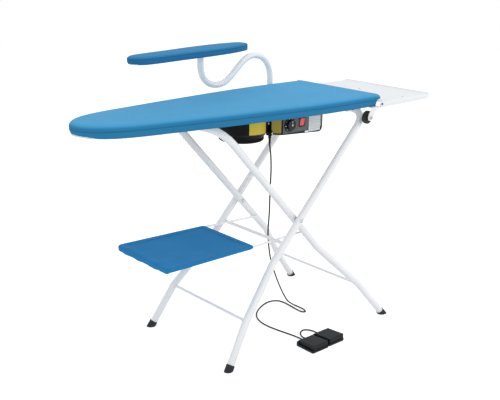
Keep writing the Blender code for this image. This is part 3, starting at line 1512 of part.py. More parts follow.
def make_axle(name, side, look):
    """A stepped pin: head outside the bracket, collar, wheel seat and end."""
    head = TRAY_WIDTH / 2 - TRAY_WALL
    bracket_inside = head - GAP * 2 - BRACKET_WALL
    wheel_outside = bracket_inside - AXLE_COLLAR
    wheel_inside = wheel_outside - GAP * 2 - WHEEL_WIDTH
    profile = [
        (0, head + AXLE_HEAD_DEPTH),
        (AXLE_HEAD_RADIUS * HEAD_EDGE_SHARE, head + AXLE_HEAD_DEPTH),
        (AXLE_HEAD_RADIUS, head + AXLE_HEAD_DEPTH * HEAD_SIDE_SHARE),
        (AXLE_HEAD_RADIUS, head),
        (AXLE_RADIUS, head),
        (AXLE_RADIUS, bracket_inside),
        (AXLE_HEAD_RADIUS, bracket_inside),
        (AXLE_HEAD_RADIUS, wheel_outside),
        (AXLE_RADIUS, wheel_outside),
        (AXLE_RADIUS, wheel_inside),
        (AXLE_HEAD_RADIUS, wheel_inside),
        (AXLE_HEAD_RADIUS, wheel_inside - AXLE_END_DEPTH),
        (0, wheel_inside - AXLE_END_DEPTH),
    ]
    return add_part(name, turned_mesh(name, profile, wheel_side_place(side), SMALL_SIDES), look)


def make_wheel(name, side, look):
    """A solid wheel, dished between its rim and its hub on both faces."""
    outer = TRAY_WIDTH / 2 - TRAY_WALL - GAP * 2 - BRACKET_WALL - AXLE_COLLAR - GAP
    inner = outer - WHEEL_WIDTH
    bore = AXLE_RADIUS + PLAY
    rim = WHEEL_RADIUS - WHEEL_RIM
    profile = [
        (bore, outer),
        (WHEEL_HUB_RADIUS, outer),
        (WHEEL_HUB_RADIUS, outer - WHEEL_DISH),
        (rim, outer - WHEEL_DISH),
        (rim, outer - WHEEL_ROUND / 3),
        (WHEEL_RADIUS - WHEEL_ROUND, outer - WHEEL_ROUND / 3),
        (WHEEL_RADIUS, outer - WHEEL_ROUND),
        (WHEEL_RADIUS, inner + WHEEL_ROUND),
        (WHEEL_RADIUS - WHEEL_ROUND, inner + WHEEL_ROUND / 3),
        (rim, inner + WHEEL_ROUND / 3),
        (rim, inner + WHEEL_DISH),
        (WHEEL_HUB_RADIUS, inner + WHEEL_DISH),
        (WHEEL_HUB_RADIUS, inner),
        (bore, inner),
    ]
    return add_part(name, turned_mesh(name, profile, wheel_side_place(side), PLAIN_SIDES), look)


def make_socket(look):
    """The tube that the arm stands in, with a tab under the board's hem."""
    post_x = ARM_ROUTE[0][0]
    foot = ARM_FOOT
    radius = ARM_RADIUS + GAP + SOCKET_WALL
    bottom = foot - GAP - SOCKET_WALL
    ends = [(post_x, ARM_Y, bottom), (post_x, ARM_Y, SOCKET_TOP)]
    socket = add_part("arm_socket", cylinder_mesh("arm_socket", *ends, radius, PLAIN_SIDES), look)
    tab = box_mesh(
        "socket_tab",
        (post_x - SOCKET_TAB_WIDTH / 2, ARM_Y - SOCKET_TAB_DEPTH, HEM_MOUNT_HEIGHT - SOCKET_TAB_WALL),
        (post_x + SOCKET_TAB_WIDTH / 2, ARM_Y, HEM_MOUNT_HEIGHT),
    )
    boolean(socket, add_cutter("socket_tab", tab), "UNION")
    start = (post_x, ARM_Y, foot - GAP)
    end = (post_x, ARM_Y, SOCKET_TOP + OVERRUN)
    bore = cylinder_mesh("socket_bore", start, end, ARM_RADIUS + GAP, PLAIN_SIDES)
    boolean(socket, add_cutter("socket_bore", bore))
    return socket


def sleeve_size():
    return {
        "top": SLEEVE_TOP,
        "bottom": SLEEVE_TOP - SLEEVE_DEPTH,
        "side": SLEEVE_SIDE,
        "roof": SLEEVE_ROOF,
        "hem": SLEEVE_HEM,
        "hem_depth": SLEEVE_HEM_DEPTH,
        "crown": SLEEVE_CROWN,
        "shoulder": SLEEVE_SHOULDER,
        "piping_drop": 0,
        "bead": SLEEVE_BEAD,
    }


def make_sleeve(looks):
    """The bent arm and the sleeve board on it: cover, pad and plate."""
    top_x = ARM_ROUTE[-1][0]
    route = smooth([(x, ARM_Y, ARM_FOOT + rise) for x, rise in ARM_ROUTE], ARM_STEPS)
    arm_mesh = tube_mesh("sleeve_arm", route, ARM_RADIUS, LEG_BEVEL_STEPS)
    arm = add_part("sleeve_arm", arm_mesh, looks["frame_paint"])
    size = sleeve_size()
    edge = outline(SLEEVE_LENGTH, SLEEVE_WIDTH, SLEEVE_SHARES)
    turn = Matrix.Rotation(SLEEVE_HEADING, 4, "Z")
    reach = Matrix.Translation((-SLEEVE_NOSE_REACH, 0, 0))
    place = Matrix.Translation((top_x, ARM_Y, 0)) @ turn @ reach
    cover_shape = cover_mesh("sleeve_cover", edge, size, place)
    cover = add_part("sleeve_cover", cover_shape, looks["sleeve_cloth"])
    plate_bottom = size["bottom"] + size["hem_depth"] + GAP
    plate_top = plate_bottom + SLEEVE_PLATE_DEPTH
    pad_shape = pad_mesh("sleeve_pad", edge, size, plate_top + GAP, place)
    pad = add_part("sleeve_pad", pad_shape, looks["felt"])
    inner = inset(edge, SLEEVE_SIDE + SLEEVE_BEAD + GAP)
    plate_rings = [(inner, plate_bottom), (inner, plate_top)]
    plate = add_part("sleeve_plate", loft_mesh("sleeve_plate", plate_rings, place), looks["pan_metal"])
    saddle = box_mesh(
        "saddle",
        (-SADDLE_LENGTH / 2, -SADDLE_WIDTH / 2, ARM_TOP + GAP),
        (SADDLE_LENGTH / 2, SADDLE_WIDTH / 2, plate_bottom + SLEEVE_PLATE_DEPTH / 2),
    )
    saddle.transform(Matrix.Translation((top_x, ARM_Y, 0)) @ turn)
    boolean(plate, add_cutter("sleeve_saddle", saddle), "UNION")
    return [arm, cover, pad, plate]


def rounded_box(x_low, x_high, y_low, y_high, radius):
    """A rectangle's outline with round corners."""
    quarter = math.pi / 2
    points = arc((x_high - radius, y_high - radius), radius, 0, quarter, 3)
    points += arc((x_low + radius, y_high - radius), radius, quarter, quarter * 2, 3)
    points += arc((x_low + radius, y_low + radius), radius, quarter * 2, quarter * 3, 3)
    points += arc((x_high - radius, y_low + radius), radius, quarter * 3, quarter * 4, 3)
    return points


def pedal_axis(index):
    """The middle of a treadle's axis, for the left switch (0) or the right one (1)."""
    x = PEDAL_LEFT + PEDAL_SPACING * index + PEDAL_WIDTH / 2
    y = PEDAL_BACK + PEDAL_STEP * index - PEDAL_PIN_INSET
    return Vector((x, y, PEDAL_PIN_HEIGHT))


def make_pedal_base(name, index, entries, look):
    """The base: a rounded block with two ears for the treadle and a stub for each cord."""
    left = PEDAL_LEFT + PEDAL_SPACING * index
    right = left + PEDAL_WIDTH
    step = PEDAL_STEP * index
    plan = rounded_box(left, right, PEDAL_FRONT + step, PEDAL_BACK + step, PEDAL_CORNER)
    base = add_part(name, slab_mesh(name, plan, 0, PEDAL_BASE_DEPTH), look)
    axis = pedal_axis(index)
    for label, x in (("left", left), ("right", right - EAR_WIDTH)):
        root = PEDAL_BASE_DEPTH / 2
        points = [(axis.y - EAR_RADIUS, root), (axis.y + EAR_RADIUS, root)]
        points += arc((axis.y, axis.z), EAR_RADIUS, 0, math.pi, 6)
        ear = slab_mesh(name, points, x, x + EAR_WIDTH, "YZ")
        boolean(base, add_cutter(f"{name}_{label}_ear", ear), "UNION")
    for i, x in enumerate(entries):
        start = (x, PEDAL_BACK + step - OVERRUN, ENTRY_HEIGHT)
        end = (x, PEDAL_BACK + step + ENTRY_LENGTH, ENTRY_HEIGHT)
        stub = cylinder_mesh(name, start, end, ENTRY_RADIUS, SMALL_SIDES)
        boolean(base, add_cutter(f"{name}_entry_{i}", stub), "UNION")
    hole_start = (left + EAR_WIDTH / 3, axis.y, axis.z)
    hole_end = (right - EAR_WIDTH / 3, axis.y, axis.z)
    hole = cylinder_mesh(name, hole_start, hole_end, PEDAL_PIN_RADIUS + PLAY)
    boolean(base, add_cutter(f"{name}_hole", hole))
    return base


def make_treadle(name, index, look):
    """A sloping hollow cap that tips on two stubs at its back."""
    left = PEDAL_LEFT + PEDAL_SPACING * index + EAR_WIDTH + TREADLE_PLAY
    right = left + PEDAL_WIDTH - (EAR_WIDTH + TREADLE_PLAY) * 2
    step = PEDAL_STEP * index
    front = PEDAL_FRONT + step + TREADLE_FRONT_INSET
    back = PEDAL_BACK + step - TREADLE_BACK_INSET
    profile = [
        (front, TREADLE_BOTTOM),
        (front, TREADLE_FRONT_TOP - TREADLE_ROUND),
        (front + TREADLE_ROUND * ROUND_SHARE, TREADLE_FRONT_TOP - TREADLE_ROUND * ROUND_SHARE),
        (front + TREADLE_ROUND, TREADLE_FRONT_TOP),
        (back - TREADLE_ROUND, TREADLE_BACK_TOP),
        (back, TREADLE_BACK_TOP - TREADLE_ROUND),
        (back, TREADLE_BOTTOM),
    ]
    treadle = add_part(name, slab_mesh(name, profile, left, right, "YZ"), look)
    axis = pedal_axis(index)
    hollow_front = front + TREADLE_WALL
    hollow_back = axis.y - PEDAL_PIN_RADIUS - TREADLE_WALL
    hollow = [
        (hollow_front, TREADLE_BOTTOM - OVERRUN),
        (hollow_front, TREADLE_FRONT_TOP - TREADLE_WALL * TREADLE_SKIN_SHARE),
        (hollow_back, TREADLE_BACK_TOP - TREADLE_WALL * TREADLE_SKIN_SHARE),
        (hollow_back, TREADLE_BOTTOM - OVERRUN),
    ]
    hollow_mesh = slab_mesh(name, hollow, left + TREADLE_WALL, right - TREADLE_WALL, "YZ")
    boolean(treadle, add_cutter(f"{name}_hollow", hollow_mesh))
    stub_reach = EAR_WIDTH * 2 / 3 - PLAY + TREADLE_PLAY
    pin_start = (left - stub_reach, axis.y, axis.z)
    pin_end = (right + stub_reach, axis.y, axis.z)
    pin = cylinder_mesh(name, pin_start, pin_end, PEDAL_PIN_RADIUS)
    boolean(treadle, add_cutter(f"{name}_pin", pin), "UNION")
    return treadle


def make_switch(name, index, look):
    """The small switch block that stands on the base under the treadle."""
    axis = pedal_axis(index)
    bottom = PEDAL_BASE_DEPTH + GAP
    low = (axis.x - SWITCH_WIDTH / 2, axis.y - SWITCH_INSET - SWITCH_LENGTH / 2, bottom)
    high = (axis.x + SWITCH_WIDTH / 2, axis.y - SWITCH_INSET + SWITCH_LENGTH / 2, bottom + SWITCH_HEIGHT)
    switch = add_part(name, box_mesh(name, low, high), look)
    soft = switch.modifiers.new("edges", "BEVEL")
    soft.width = GAP * 3
    soft.segments = 1
    return switch


def make_looks():
    return {
        "frame_paint": make_material("frame_paint", (0.86, 0.87, 0.87), 0.35),
        "foot_rubber": make_material("foot_rubber", (0.045, 0.05, 0.055), 0.75),
        "bolt_steel": make_material("bolt_steel", (0.55, 0.56, 0.58), 0.3, 1.0),
        "shelf_cloth": make_material("shelf_cloth", (0.025, 0.16, 0.38), 0.85),
        "board_cloth": make_material("board_cloth", (0.09, 0.34, 0.62), 0.85),
        "sleeve_cloth": make_material("sleeve_cloth", (0.035, 0.21, 0.46), 0.85),
        "felt": make_material("felt", (0.75, 0.74, 0.70), 0.95),
        "plate_metal": make_material("plate_metal", (0.70, 0.71, 0.72), 0.35, 1.0),
        "pan_metal": make_material("pan_metal", (0.62, 0.63, 0.64), 0.45, 1.0),
        "heater_metal": make_material("heater_metal", (0.35, 0.33, 0.31), 0.4, 1.0),
        "motor_black": make_material("motor_black", (0.012, 0.012, 0.014), 0.45),
        "motor_metal": make_material("motor_metal", (0.40, 0.40, 0.42), 0.4, 1.0),
        "fan_plastic": make_material("fan_plastic", (0.08, 0.08, 0.09), 0.5),
        "box_black": make_material("box_black", (0.014, 0.014, 0.016), 0.5),
        "panel_grey": make_material("panel_grey", (0.16, 0.19, 0.19), 0.5),
        "dial_black": make_material("dial_black", (0.01, 0.01, 0.012), 0.35),
        "rocker_red": make_material("rocker_red", (0.62, 0.01, 0.03), 0.25),
        "tray_paint": make_material("tray_paint", (0.84, 0.85, 0.86), 0.4),
        "wheel_black": make_material("wheel_black", (0.02, 0.02, 0.022), 0.6),
        "pedal_plastic": make_material("pedal_plastic", (0.03, 0.035, 0.04), 0.55),
        "treadle_plastic": make_material("treadle_plastic", (0.05, 0.055, 0.06), 0.55),
        "cord_black": make_material("cord_black", (0.012, 0.012, 0.013), 0.5),
    }


def make_legs(looks):
    """Both leg frames, their bolts and washers. It gives the outer frame's pieces, then the inner's."""
    sides = (("near", -1), ("far", 1))
    holes = {place: pivot_hole(f"pivot_hole_{place}", side) for place, side in sides}
    pin = shelf_point(SHELF_PIN_ANGLE, 1)
    pin_holes = {}
    for place, side in (("near", -1), ("far", 1)):
        start = (pin.x, side * (INNER_HALF_SPREAD - TUBE_RADIUS - OVERRUN), pin.z)
        end = (pin.x, side * (SHELF_PIN_TIP + GAP), pin.z)
        name = f"shelf_pin_hole_{place}"
        mesh = cylinder_mesh(name, start, end, SHELF_WIRE_RADIUS + PLAY)
        pin_holes[place] = add_cutter(name, mesh)
    outer_holes = {place: [hole] for place, hole in holes.items()}
    inner_holes = {place: [hole, pin_holes[place]] for place, hole in holes.items()}
    outer, outer_rooms = make_leg_frame(
        "outer", outer_leg_points(), outer_holes, OUTER_KNEE_HEIGHT, OUTER_KNEE_SPREAD, 1, looks
    )
    inner, _ = make_leg_frame(
        "inner", inner_leg_points(), inner_holes, INNER_KNEE_HEIGHT, INNER_KNEE_SPREAD, -1, looks
    )
    rest = shelf_point(SHELF_REST_ANGLE, -1)
    place = (rest.x, rest.z, OUTER_HALF_SPREAD)
    paint = looks["frame_paint"]
    outer.append(
        make_cross_bar("shelf_rest_tube", *place, SHELF_REST_RADIUS, paint, outer_rooms)
    )
    for place, side in (("near", -1), ("far", 1)):
        outer.append(make_bolt(f"pivot_bolt_{place}", side, looks["bolt_steel"]))
        inner.append(make_washer(f"pivot_washer_{place}", side, holes[place], looks["bolt_steel"]))
    return outer, inner


def make_table_top(looks):
    """Everything that tilts with the board, apart from the pieces with a joint of their own."""
    pieces = make_board(looks)
    pieces.append(make_rack(looks["plate_metal"]))
    pieces += make_blower(looks)
    pieces += make_control_box(looks)
    pieces += make_glands(looks)
    pieces.append(make_tray(looks["tray_paint"]))
    pieces.append(make_socket(looks["tray_paint"]))
    for place, side in (("near", -1), ("far", 1)):
        pieces.append(make_clip(f"hinge_clip_{place}", side, looks["plate_metal"]))
        pieces.append(make_bracket(f"tray_bracket_{place}", side, looks["tray_paint"]))
        pieces.append(make_axle(f"wheel_axle_{place}", side, looks["bolt_steel"]))
    return pieces


def make_pedals(looks, root):
    """Both foot switches with their cords."""
    pieces = []
    entries = ((MAIN_ENTRY_X, LINK_EXIT_X), (LINK_ENTRY_X,))
    for index, place in enumerate(("left", "right")):
        pieces.append(make_pedal_base(f"pedal_base_{place}", index, entries[index], looks["pedal_plastic"]))
        pieces.append(make_switch(f"pedal_switch_{place}", index, looks["box_black"]))
        treadle = make_treadle(f"pedal_treadle_{place}", index, looks["treadle_plastic"])
        hang([treadle], joint_empty(f"treadle_{place}_axis", pedal_axis(index), root))
    link = tube_mesh("link_cord", smooth(LINK_ROUTE, LINK_STEPS), CORD_RADIUS)
    pieces.append(add_part("link_cord", link, looks["cord_black"]))
    hang(pieces, root)
    return pieces


def centre_whole():
    """Moves the whole so that the floor below the middle of its box is the origin."""
    bpy.context.view_layer.update()
    corners = []
    for part in PARTS.objects:
        if part.type == "MESH" and not part.name.endswith("_cord"):
            corners += [part.matrix_world @ vertex.co for vertex in part.data.vertices]
    middle_x = (min(c.x for c in corners) + max(c.x for c in corners)) / 2
    middle_y = (min(c.y for c in corners) + max(c.y for c in corners)) / 2
    for thing in list(PARTS.objects) + list(CUTTERS.objects):
        if thing.parent is None:
            thing.location += Vector((-middle_x, -middle_y, 0))
    bpy.context.view_layer.update()


def main():
    clear_scene()
    looks = make_looks()
    root = joint_empty("outer_legs_root", (PIVOT_X, 0, 0))
    outer, inner = make_legs(looks)
    hang(outer, root)
    hang(inner, joint_empty("leg_fold_axis", (PIVOT_X, 0, PIVOT_HEIGHT), root))
    inner_axis = PARTS.objects["leg_fold_axis"]
    shelf_pin = shelf_point(SHELF_PIN_ANGLE, 1)
    hang(make_shelf(looks), joint_empty("shelf_fold_axis", shelf_pin, inner_axis))
    tilt = joint_empty("table_tilt_axis", (leg_x(LEG_TOP_HEIGHT, 1), 0, LEG_TOP_HEIGHT), root)
    hang(make_table_top(looks), tilt)
    cord = tube_mesh("pedal_cord", smooth(CORD_ROUTE, CORD_STEPS), CORD_RADIUS)
    hang([add_part("pedal_cord", cord, looks["cord_black"])], tilt)
    hang([make_fan(looks["fan_plastic"])], joint_empty("fan_axis", (BLOWER_X, 0, BLOWER_BOTTOM), tilt))
    dial_axis = joint_empty("dial_axis", (DIAL_X, -BOX_FRONT, DIAL_HEIGHT), tilt)
    hang([make_dial(looks["dial_black"])], dial_axis)
    hang([make_rocker(looks["rocker_red"])], joint_empty("rocker_axis", rocker_axis(), tilt))
    post_x = ARM_ROUTE[0][0]
    hang(make_sleeve(looks), joint_empty("sleeve_swivel_axis", (post_x, ARM_Y, ARM_FOOT), tilt))
    for place, side in (("near", -1), ("far", 1)):
        wheel = make_wheel(f"transport_wheel_{place}", side, looks["wheel_black"])
        axis = (AXLE_X, side * TRAY_WIDTH / 2, AXLE_HEIGHT)
        hang([wheel], joint_empty(f"wheel_{place}_axis", axis, tilt))
    make_pedals(looks, root)
    centre_whole()


if __name__ == "__main__":
    main()
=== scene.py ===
"""Looks of the vacuum ironing table: its fitted covers, its cloth shelf, its cords, the small plates and
fasteners on its blower, controls and tray, its finishes, and the light and camera of the picture.

Metres. Places are given from the board's square end (X) and from its centre line (Y), and `at` moves
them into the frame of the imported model.
"""
import json
import math

import bmesh
import bpy
from mathutils import Matrix, Vector, noise


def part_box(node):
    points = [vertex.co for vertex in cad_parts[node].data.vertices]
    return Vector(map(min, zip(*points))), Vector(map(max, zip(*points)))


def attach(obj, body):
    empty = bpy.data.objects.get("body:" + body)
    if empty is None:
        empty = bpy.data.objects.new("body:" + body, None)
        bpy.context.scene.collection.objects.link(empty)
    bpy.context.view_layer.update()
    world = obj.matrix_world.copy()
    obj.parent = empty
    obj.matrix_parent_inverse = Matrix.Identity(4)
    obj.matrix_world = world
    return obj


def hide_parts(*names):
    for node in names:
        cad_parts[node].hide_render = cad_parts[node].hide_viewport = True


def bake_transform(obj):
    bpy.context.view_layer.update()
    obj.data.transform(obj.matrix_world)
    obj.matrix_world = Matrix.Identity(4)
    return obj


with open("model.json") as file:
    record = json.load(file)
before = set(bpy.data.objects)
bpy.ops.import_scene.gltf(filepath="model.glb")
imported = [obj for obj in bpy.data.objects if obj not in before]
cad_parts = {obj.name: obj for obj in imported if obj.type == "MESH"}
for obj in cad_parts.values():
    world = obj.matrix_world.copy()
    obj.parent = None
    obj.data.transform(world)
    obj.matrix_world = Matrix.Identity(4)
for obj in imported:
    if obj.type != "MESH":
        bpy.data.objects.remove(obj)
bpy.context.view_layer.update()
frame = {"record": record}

BOARD_LOW, BOARD_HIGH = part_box("board_cover")
SHIFT = Vector((BOARD_HIGH.x, (BOARD_LOW.y + BOARD_HIGH.y) / 2, 0))


def at(x, y, z):
    return Vector((x, y, z)) + SHIFT


# Camera
CAMERA_PLACE = at(-2.4449, -2.2182, 1.4305)
CAMERA_YAW = 0.7300
CAMERA_PITCH = 0.2990
CAMERA_ROLL = 0.0187
CAMERA_LENS = 59.57
CAMERA_SENSOR = 36.0
CAMERA_SHIFT = (0.0015, 0.0021)
CAMERA_REACH = 50.0


def make_camera():
    made = bpy.data.objects.new("photo_camera", bpy.data.cameras.new("photo_camera"))
    ahead = Vector((
        math.sin(CAMERA_YAW) * math.cos(CAMERA_PITCH),
        math.cos(CAMERA_YAW) * math.cos(CAMERA_PITCH),
        -math.sin(CAMERA_PITCH),
    ))
    level = Vector((math.cos(CAMERA_YAW), -math.sin(CAMERA_YAW), 0))
    upright = level.cross(ahead)
    right = level * math.cos(CAMERA_ROLL) + upright * math.sin(CAMERA_ROLL)
    up = upright * math.cos(CAMERA_ROLL) - level * math.sin(CAMERA_ROLL)
    turn = Matrix((right, up, -ahead)).transposed().to_4x4()
    made.matrix_world = Matrix.Translation(CAMERA_PLACE) @ turn
    made.data.lens = CAMERA_LENS
    made.data.sensor_width = CAMERA_SENSOR
    made.data.shift_x, made.data.shift_y = CAMERA_SHIFT
    made.data.clip_end = CAMERA_REACH
    bpy.context.scene.collection.objects.link(made)
    bpy.context.scene.camera = made


make_camera()


# Mesh helpers
EDGE_STEPS = 2
SHARP_EDGE = 0.6
SMALLEST_STEP = 1e-9
TO_FRONT = (0, -1, 0)
SIDES = (("near", -1), ("far", 1))


def finish_mesh(name, work, look, smooth=True):
    """Turns a bmesh into an object with its look."""
    bmesh.ops.recalc_face_normals(work, faces=work.faces)
    for face in work.faces:
        face.smooth = smooth
    mesh = bpy.data.meshes.new(name)
    work.to_mesh(mesh)
    work.free()
    mesh.materials.append(look)
    made = bpy.data.objects.new(name, mesh)
    bpy.context.scene.collection.objects.link(made)
    return made


def keep(piece, body):
    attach(piece, body)
    return piece


def soften_edges(piece, width, flat=True):
    """A small rounding along the sharp edges, with flat faces left flat unless the piece is round."""
    bevel = piece.modifiers.new("soft edges", "BEVEL")
    bevel.width = width
    bevel.segments = EDGE_STEPS
    bevel.limit_method = "ANGLE"
    bevel.angle_limit = SHARP_EDGE
    if flat:
        normals = piece.modifiers.new("flat faces", "WEIGHTED_NORMAL")
        normals.keep_sharp = True
    return piece


def smooth_line(points, steps, closed=False):
    """Points on a smooth curve through the given ones, spaced so that it doesn't loop."""
    points = [Vector(p) for p in points]
    count = len(points)
    made = []
    spans = count if closed else count - 1
    for i in range(spans):
        if closed:
            p = [points[(i + k - 1) % count] for k in range(4)]
        else:
            p = [points[max(0, min(count - 1, i + k - 1))] for k in range(4)]
            if i == 0:
                p[0] = p[1] * 2 - p[2]
            if i == spans - 1:
                p[3] = p[2] * 2 - p[1]
        t = [0.0]
        for a, b in zip(p, p[1:]):
            t.append(t[-1] + max((b - a).length, SMALLEST_STEP) ** 0.5)
        for step in range(steps):
            now = t[1] + (t[2] - t[1]) * step / steps
            a1 = p[0].lerp(p[1], (now - t[0]) / (t[1] - t[0]))
            a2 = p[1].lerp(p[2], (now - t[1]) / (t[2] - t[1]))
            a3 = p[2].lerp(p[3], (now - t[2]) / (t[3] - t[2]))
            b1 = a1.lerp(a2, (now - t[0]) / (t[2] - t[0]))
            b2 = a2.lerp(a3, (now - t[1]) / (t[3] - t[1]))
            made.append(b1.lerp(b2, (now - t[1]) / (t[2] - t[1])))
    if not closed:
        made.append(points[-1])
    return made


def running_lengths(points):
    """How far along the line each point lies."""
    reach = [0.0]
    for a, b in zip(points, points[1:]):
        reach.append(reach[-1] + (b - a).length)
    return reach


def even_line(points, spacing, closed=False):
    """The same line with its points this far apart."""
    line = list(points) + ([points[0]] if closed else [])
    reach = running_lengths(line)
    count = max(2, round(reach[-1] / spacing))
    made = []
    k = 0
    for i in range(count if closed else count + 1):
        want = reach[-1] * i / count
        while k < len(line) - 2 and reach[k + 1] < want:
            k += 1
        span = reach[k + 1] - reach[k]
        made.append(line[k].lerp(line[k + 1], (want - reach[k]) / span if span else 0))
    return made


def skin_rings(work, rings, ends=False):
    """Faces between rings of equally many vertices, and over the first and last ring where asked."""
    for a, b in zip(rings, rings[1:]):
        for j in range(len(a)):
            k = (j + 1) % len(a)
            work.faces.new((a[j], a[k], b[k], b[j]))
    if ends:
        work.faces.new(rings[0])
        work.faces.new(rings[-1])


def round_ring(work, radius, height, sides, place):
    """A ring of vertices about a placement's Z, at this height."""
    ring = []
    for j in range(sides):
        turn = math.tau * j / sides
        spot = Vector((radius * math.cos(turn), radius * math.sin(turn), height))
        ring.append(work.verts.new(place @ spot))
    return ring


def tube(name, points, radius, look, sides):
    """A round tube along points, its rings turned as little as possible from one to the next."""
    work = bmesh.new()
    rings = []
    side = (points[1] - points[0]).normalized().orthogonal().normalized()
    for i, here in enumerate(points):
        before = points[max(0, i - 1)]
        after = points[min(len(points) - 1, i + 1)]
        ahead = (after - before).normalized()
        side = (side - ahead * side.dot(ahead)).normalized()
        other = ahead.cross(side)
        ring = []
        for j in range(sides):
            turn = math.tau * j / sides
            ring.append(work.verts.new(here + (side * math.cos(turn) + other * math.sin(turn)) * radius))
        rings.append(ring)
    skin_rings(work, rings, ends=True)
    return finish_mesh(name, work, look)


def turned(name, profile, place, look, sides):
    """A form turned about its own Z: profile is (radius, height) from one end of the axis to the other, and
    both ends are on the axis."""
    work = bmesh.new()
    rings = []
    for radius, height in profile:
        if radius > 0:
            rings.append(round_ring(work, radius, height, sides, place))
        else:
            rings.append([work.verts.new(place @ Vector((0, 0, height)))])
    for a, b in zip(rings, rings[1:]):
        for j in range(sides):
            k = (j + 1) % sides
            if len(a) == 1:
                work.faces.new((a[0], b[j], b[k]))
            elif len(b) == 1:
                work.faces.new((a[j], b[0], a[k]))
            else:
                work.faces.new((a[j], a[k], b[k], b[j]))
    return finish_mesh(name, work, look)


def facing(place, out):
    """A placement whose Z looks out of a surface and whose Y is as near upright as it can be."""
    out = Vector(out).normalized()
    up = Vector((0, 0, 1))
    if abs(out.dot(up)) > 0.95:
        up = Vector((0, 1, 0))
    across = up.cross(out).normalized()
    upright = out.cross(across)
    return Matrix.Translation(Vector(place)) @ Matrix((across, upright, out)).transposed().to_4x4()


def plate(name, outline, depth, place, look, rounding):
    """A flat plate of this outline, from its place outwards."""
    work = bmesh.new()
    low = [work.verts.new(place @ Vector((x, y, 0))) for x, y in outline]
    top = [work.verts.new(place @ Vector((x, y, depth))) for x, y in outline]
    work.faces.new(low)
    work.faces.new(top)
    skin_rings(work, [low, top])
    made = finish_mesh(name, work, look)
    return soften_edges(made, rounding)


def rounded(width, height, radius, steps=5):
    """The outline of a rectangle with round corners about its middle."""
    made = []
    corners = ((1, 1), (-1, 1), (-1, -1), (1, -1))
    for index, (sx, sy) in enumerate(corners):
        cx = sx * (width / 2 - radius)
        cy = sy * (height / 2 - radius)
        for i in range(steps + 1):
            turn = math.pi / 2 * (index + i / steps)
            made.append((cx + radius * math.cos(turn), cy + radius * math.sin(turn)))
    return made


def joined(name, pieces):
    """Several pieces made into one object, each with its own look."""
    bpy.ops.object.select_all(action="DESELECT")
    for piece in pieces:
        piece.select_set(True)
    bpy.context.view_layer.objects.active = pieces[0]
    bpy.ops.object.join()
    pieces[0].name = name
    return pieces[0]


# Shader helpers
def colour(red, green, blue):
    """A colour written as on a paint chart, 0 to 255, in the linear values that a shader takes."""
    made = []
    for value in (red, green, blue):
        share = value / 255
        made.append(share / 12.92 if share <= 0.04045 else ((share + 0.055) / 1.055) ** 2.4)
    return (*made, 1.0)


def new_group(name, inputs):
    """A node group that gives a colour, a height and a roughness. Its inputs are (name, kind, value)."""
    tree = bpy.data.node_groups.new(name, "ShaderNodeTree")
    for label, kind, value in inputs:
        socket = tree.interface.new_socket(label, in_out="INPUT", socket_type=f"NodeSocket{kind}")
        socket.default_value = value
    for label, kind in (("Colour", "Color"), ("Height", "Float"), ("Roughness", "Float")):
        tree.interface.new_socket(label, in_out="OUTPUT", socket_type=f"NodeSocket{kind}")
    return tree, tree.nodes.new("NodeGroupInput").outputs, tree.nodes.new("NodeGroupOutput").inputs


def feed(tree, socket, value):
    """Sets a socket to a number or a colour, or links another node's socket to it."""
    if isinstance(value, (int, float, tuple)):
        socket.default_value = value
    else:
        tree.links.new(value, socket)


def math_node(tree, operation, first, second=None):
    node = tree.nodes.new("ShaderNodeMath")
    node.operation = operation
    feed(tree, node.inputs[0], first)
    if second is not None:
        feed(tree, node.inputs[1], second)
    return node.outputs[0]


def scale_and_add(tree, value, scale, more):
    return math_node(tree, "ADD", math_node(tree, "MULTIPLY", value, scale), more)


def noise_node(tree, place, scale, detail, roughness=0.5):
    node = tree.nodes.new("ShaderNodeTexNoise")
    node.inputs["Detail"].default_value = detail
    node.inputs["Roughness"].default_value = roughness
    tree.links.new(place, node.inputs["Vector"])
    feed(tree, node.inputs["Scale"], scale)
    return node.outputs["Fac"]


def mix_colours(tree, share, first, second):
    node = tree.nodes.new("ShaderNodeMix")
    node.data_type = "RGBA"
    for index, value in ((0, share), (6, first), (7, second)):
        feed(tree, node.inputs[index], value)
    return node.outputs[2]


def own_place(tree):
    return tree.nodes.new("ShaderNodeTexCoord").outputs["Object"]


# Weave, coat and rolled metal
WEAVE_THREAD = 0.0009
WEAVE_SLUB = 0.4
# A height below every cloth, so that no deeper side colour or painted side shade is applied.
NO_SIDE_TONE_AND_SHADE = -10.0
WEAVE_WOBBLE = 0.0007
WEAVE_WOBBLE_SCALE = 420.0
WEAVE_SLUB_SCALE = 900.0
WEAVE_TONE_SCALE = 9.0
COAT_CLOUD_SCALE = 14.0
METAL_STRETCH = (40, 900, 900)
METAL_SMUDGE_SCALE = 22.0
METAL_SMUDGE = (0.18, 0.18, 0.19, 1)


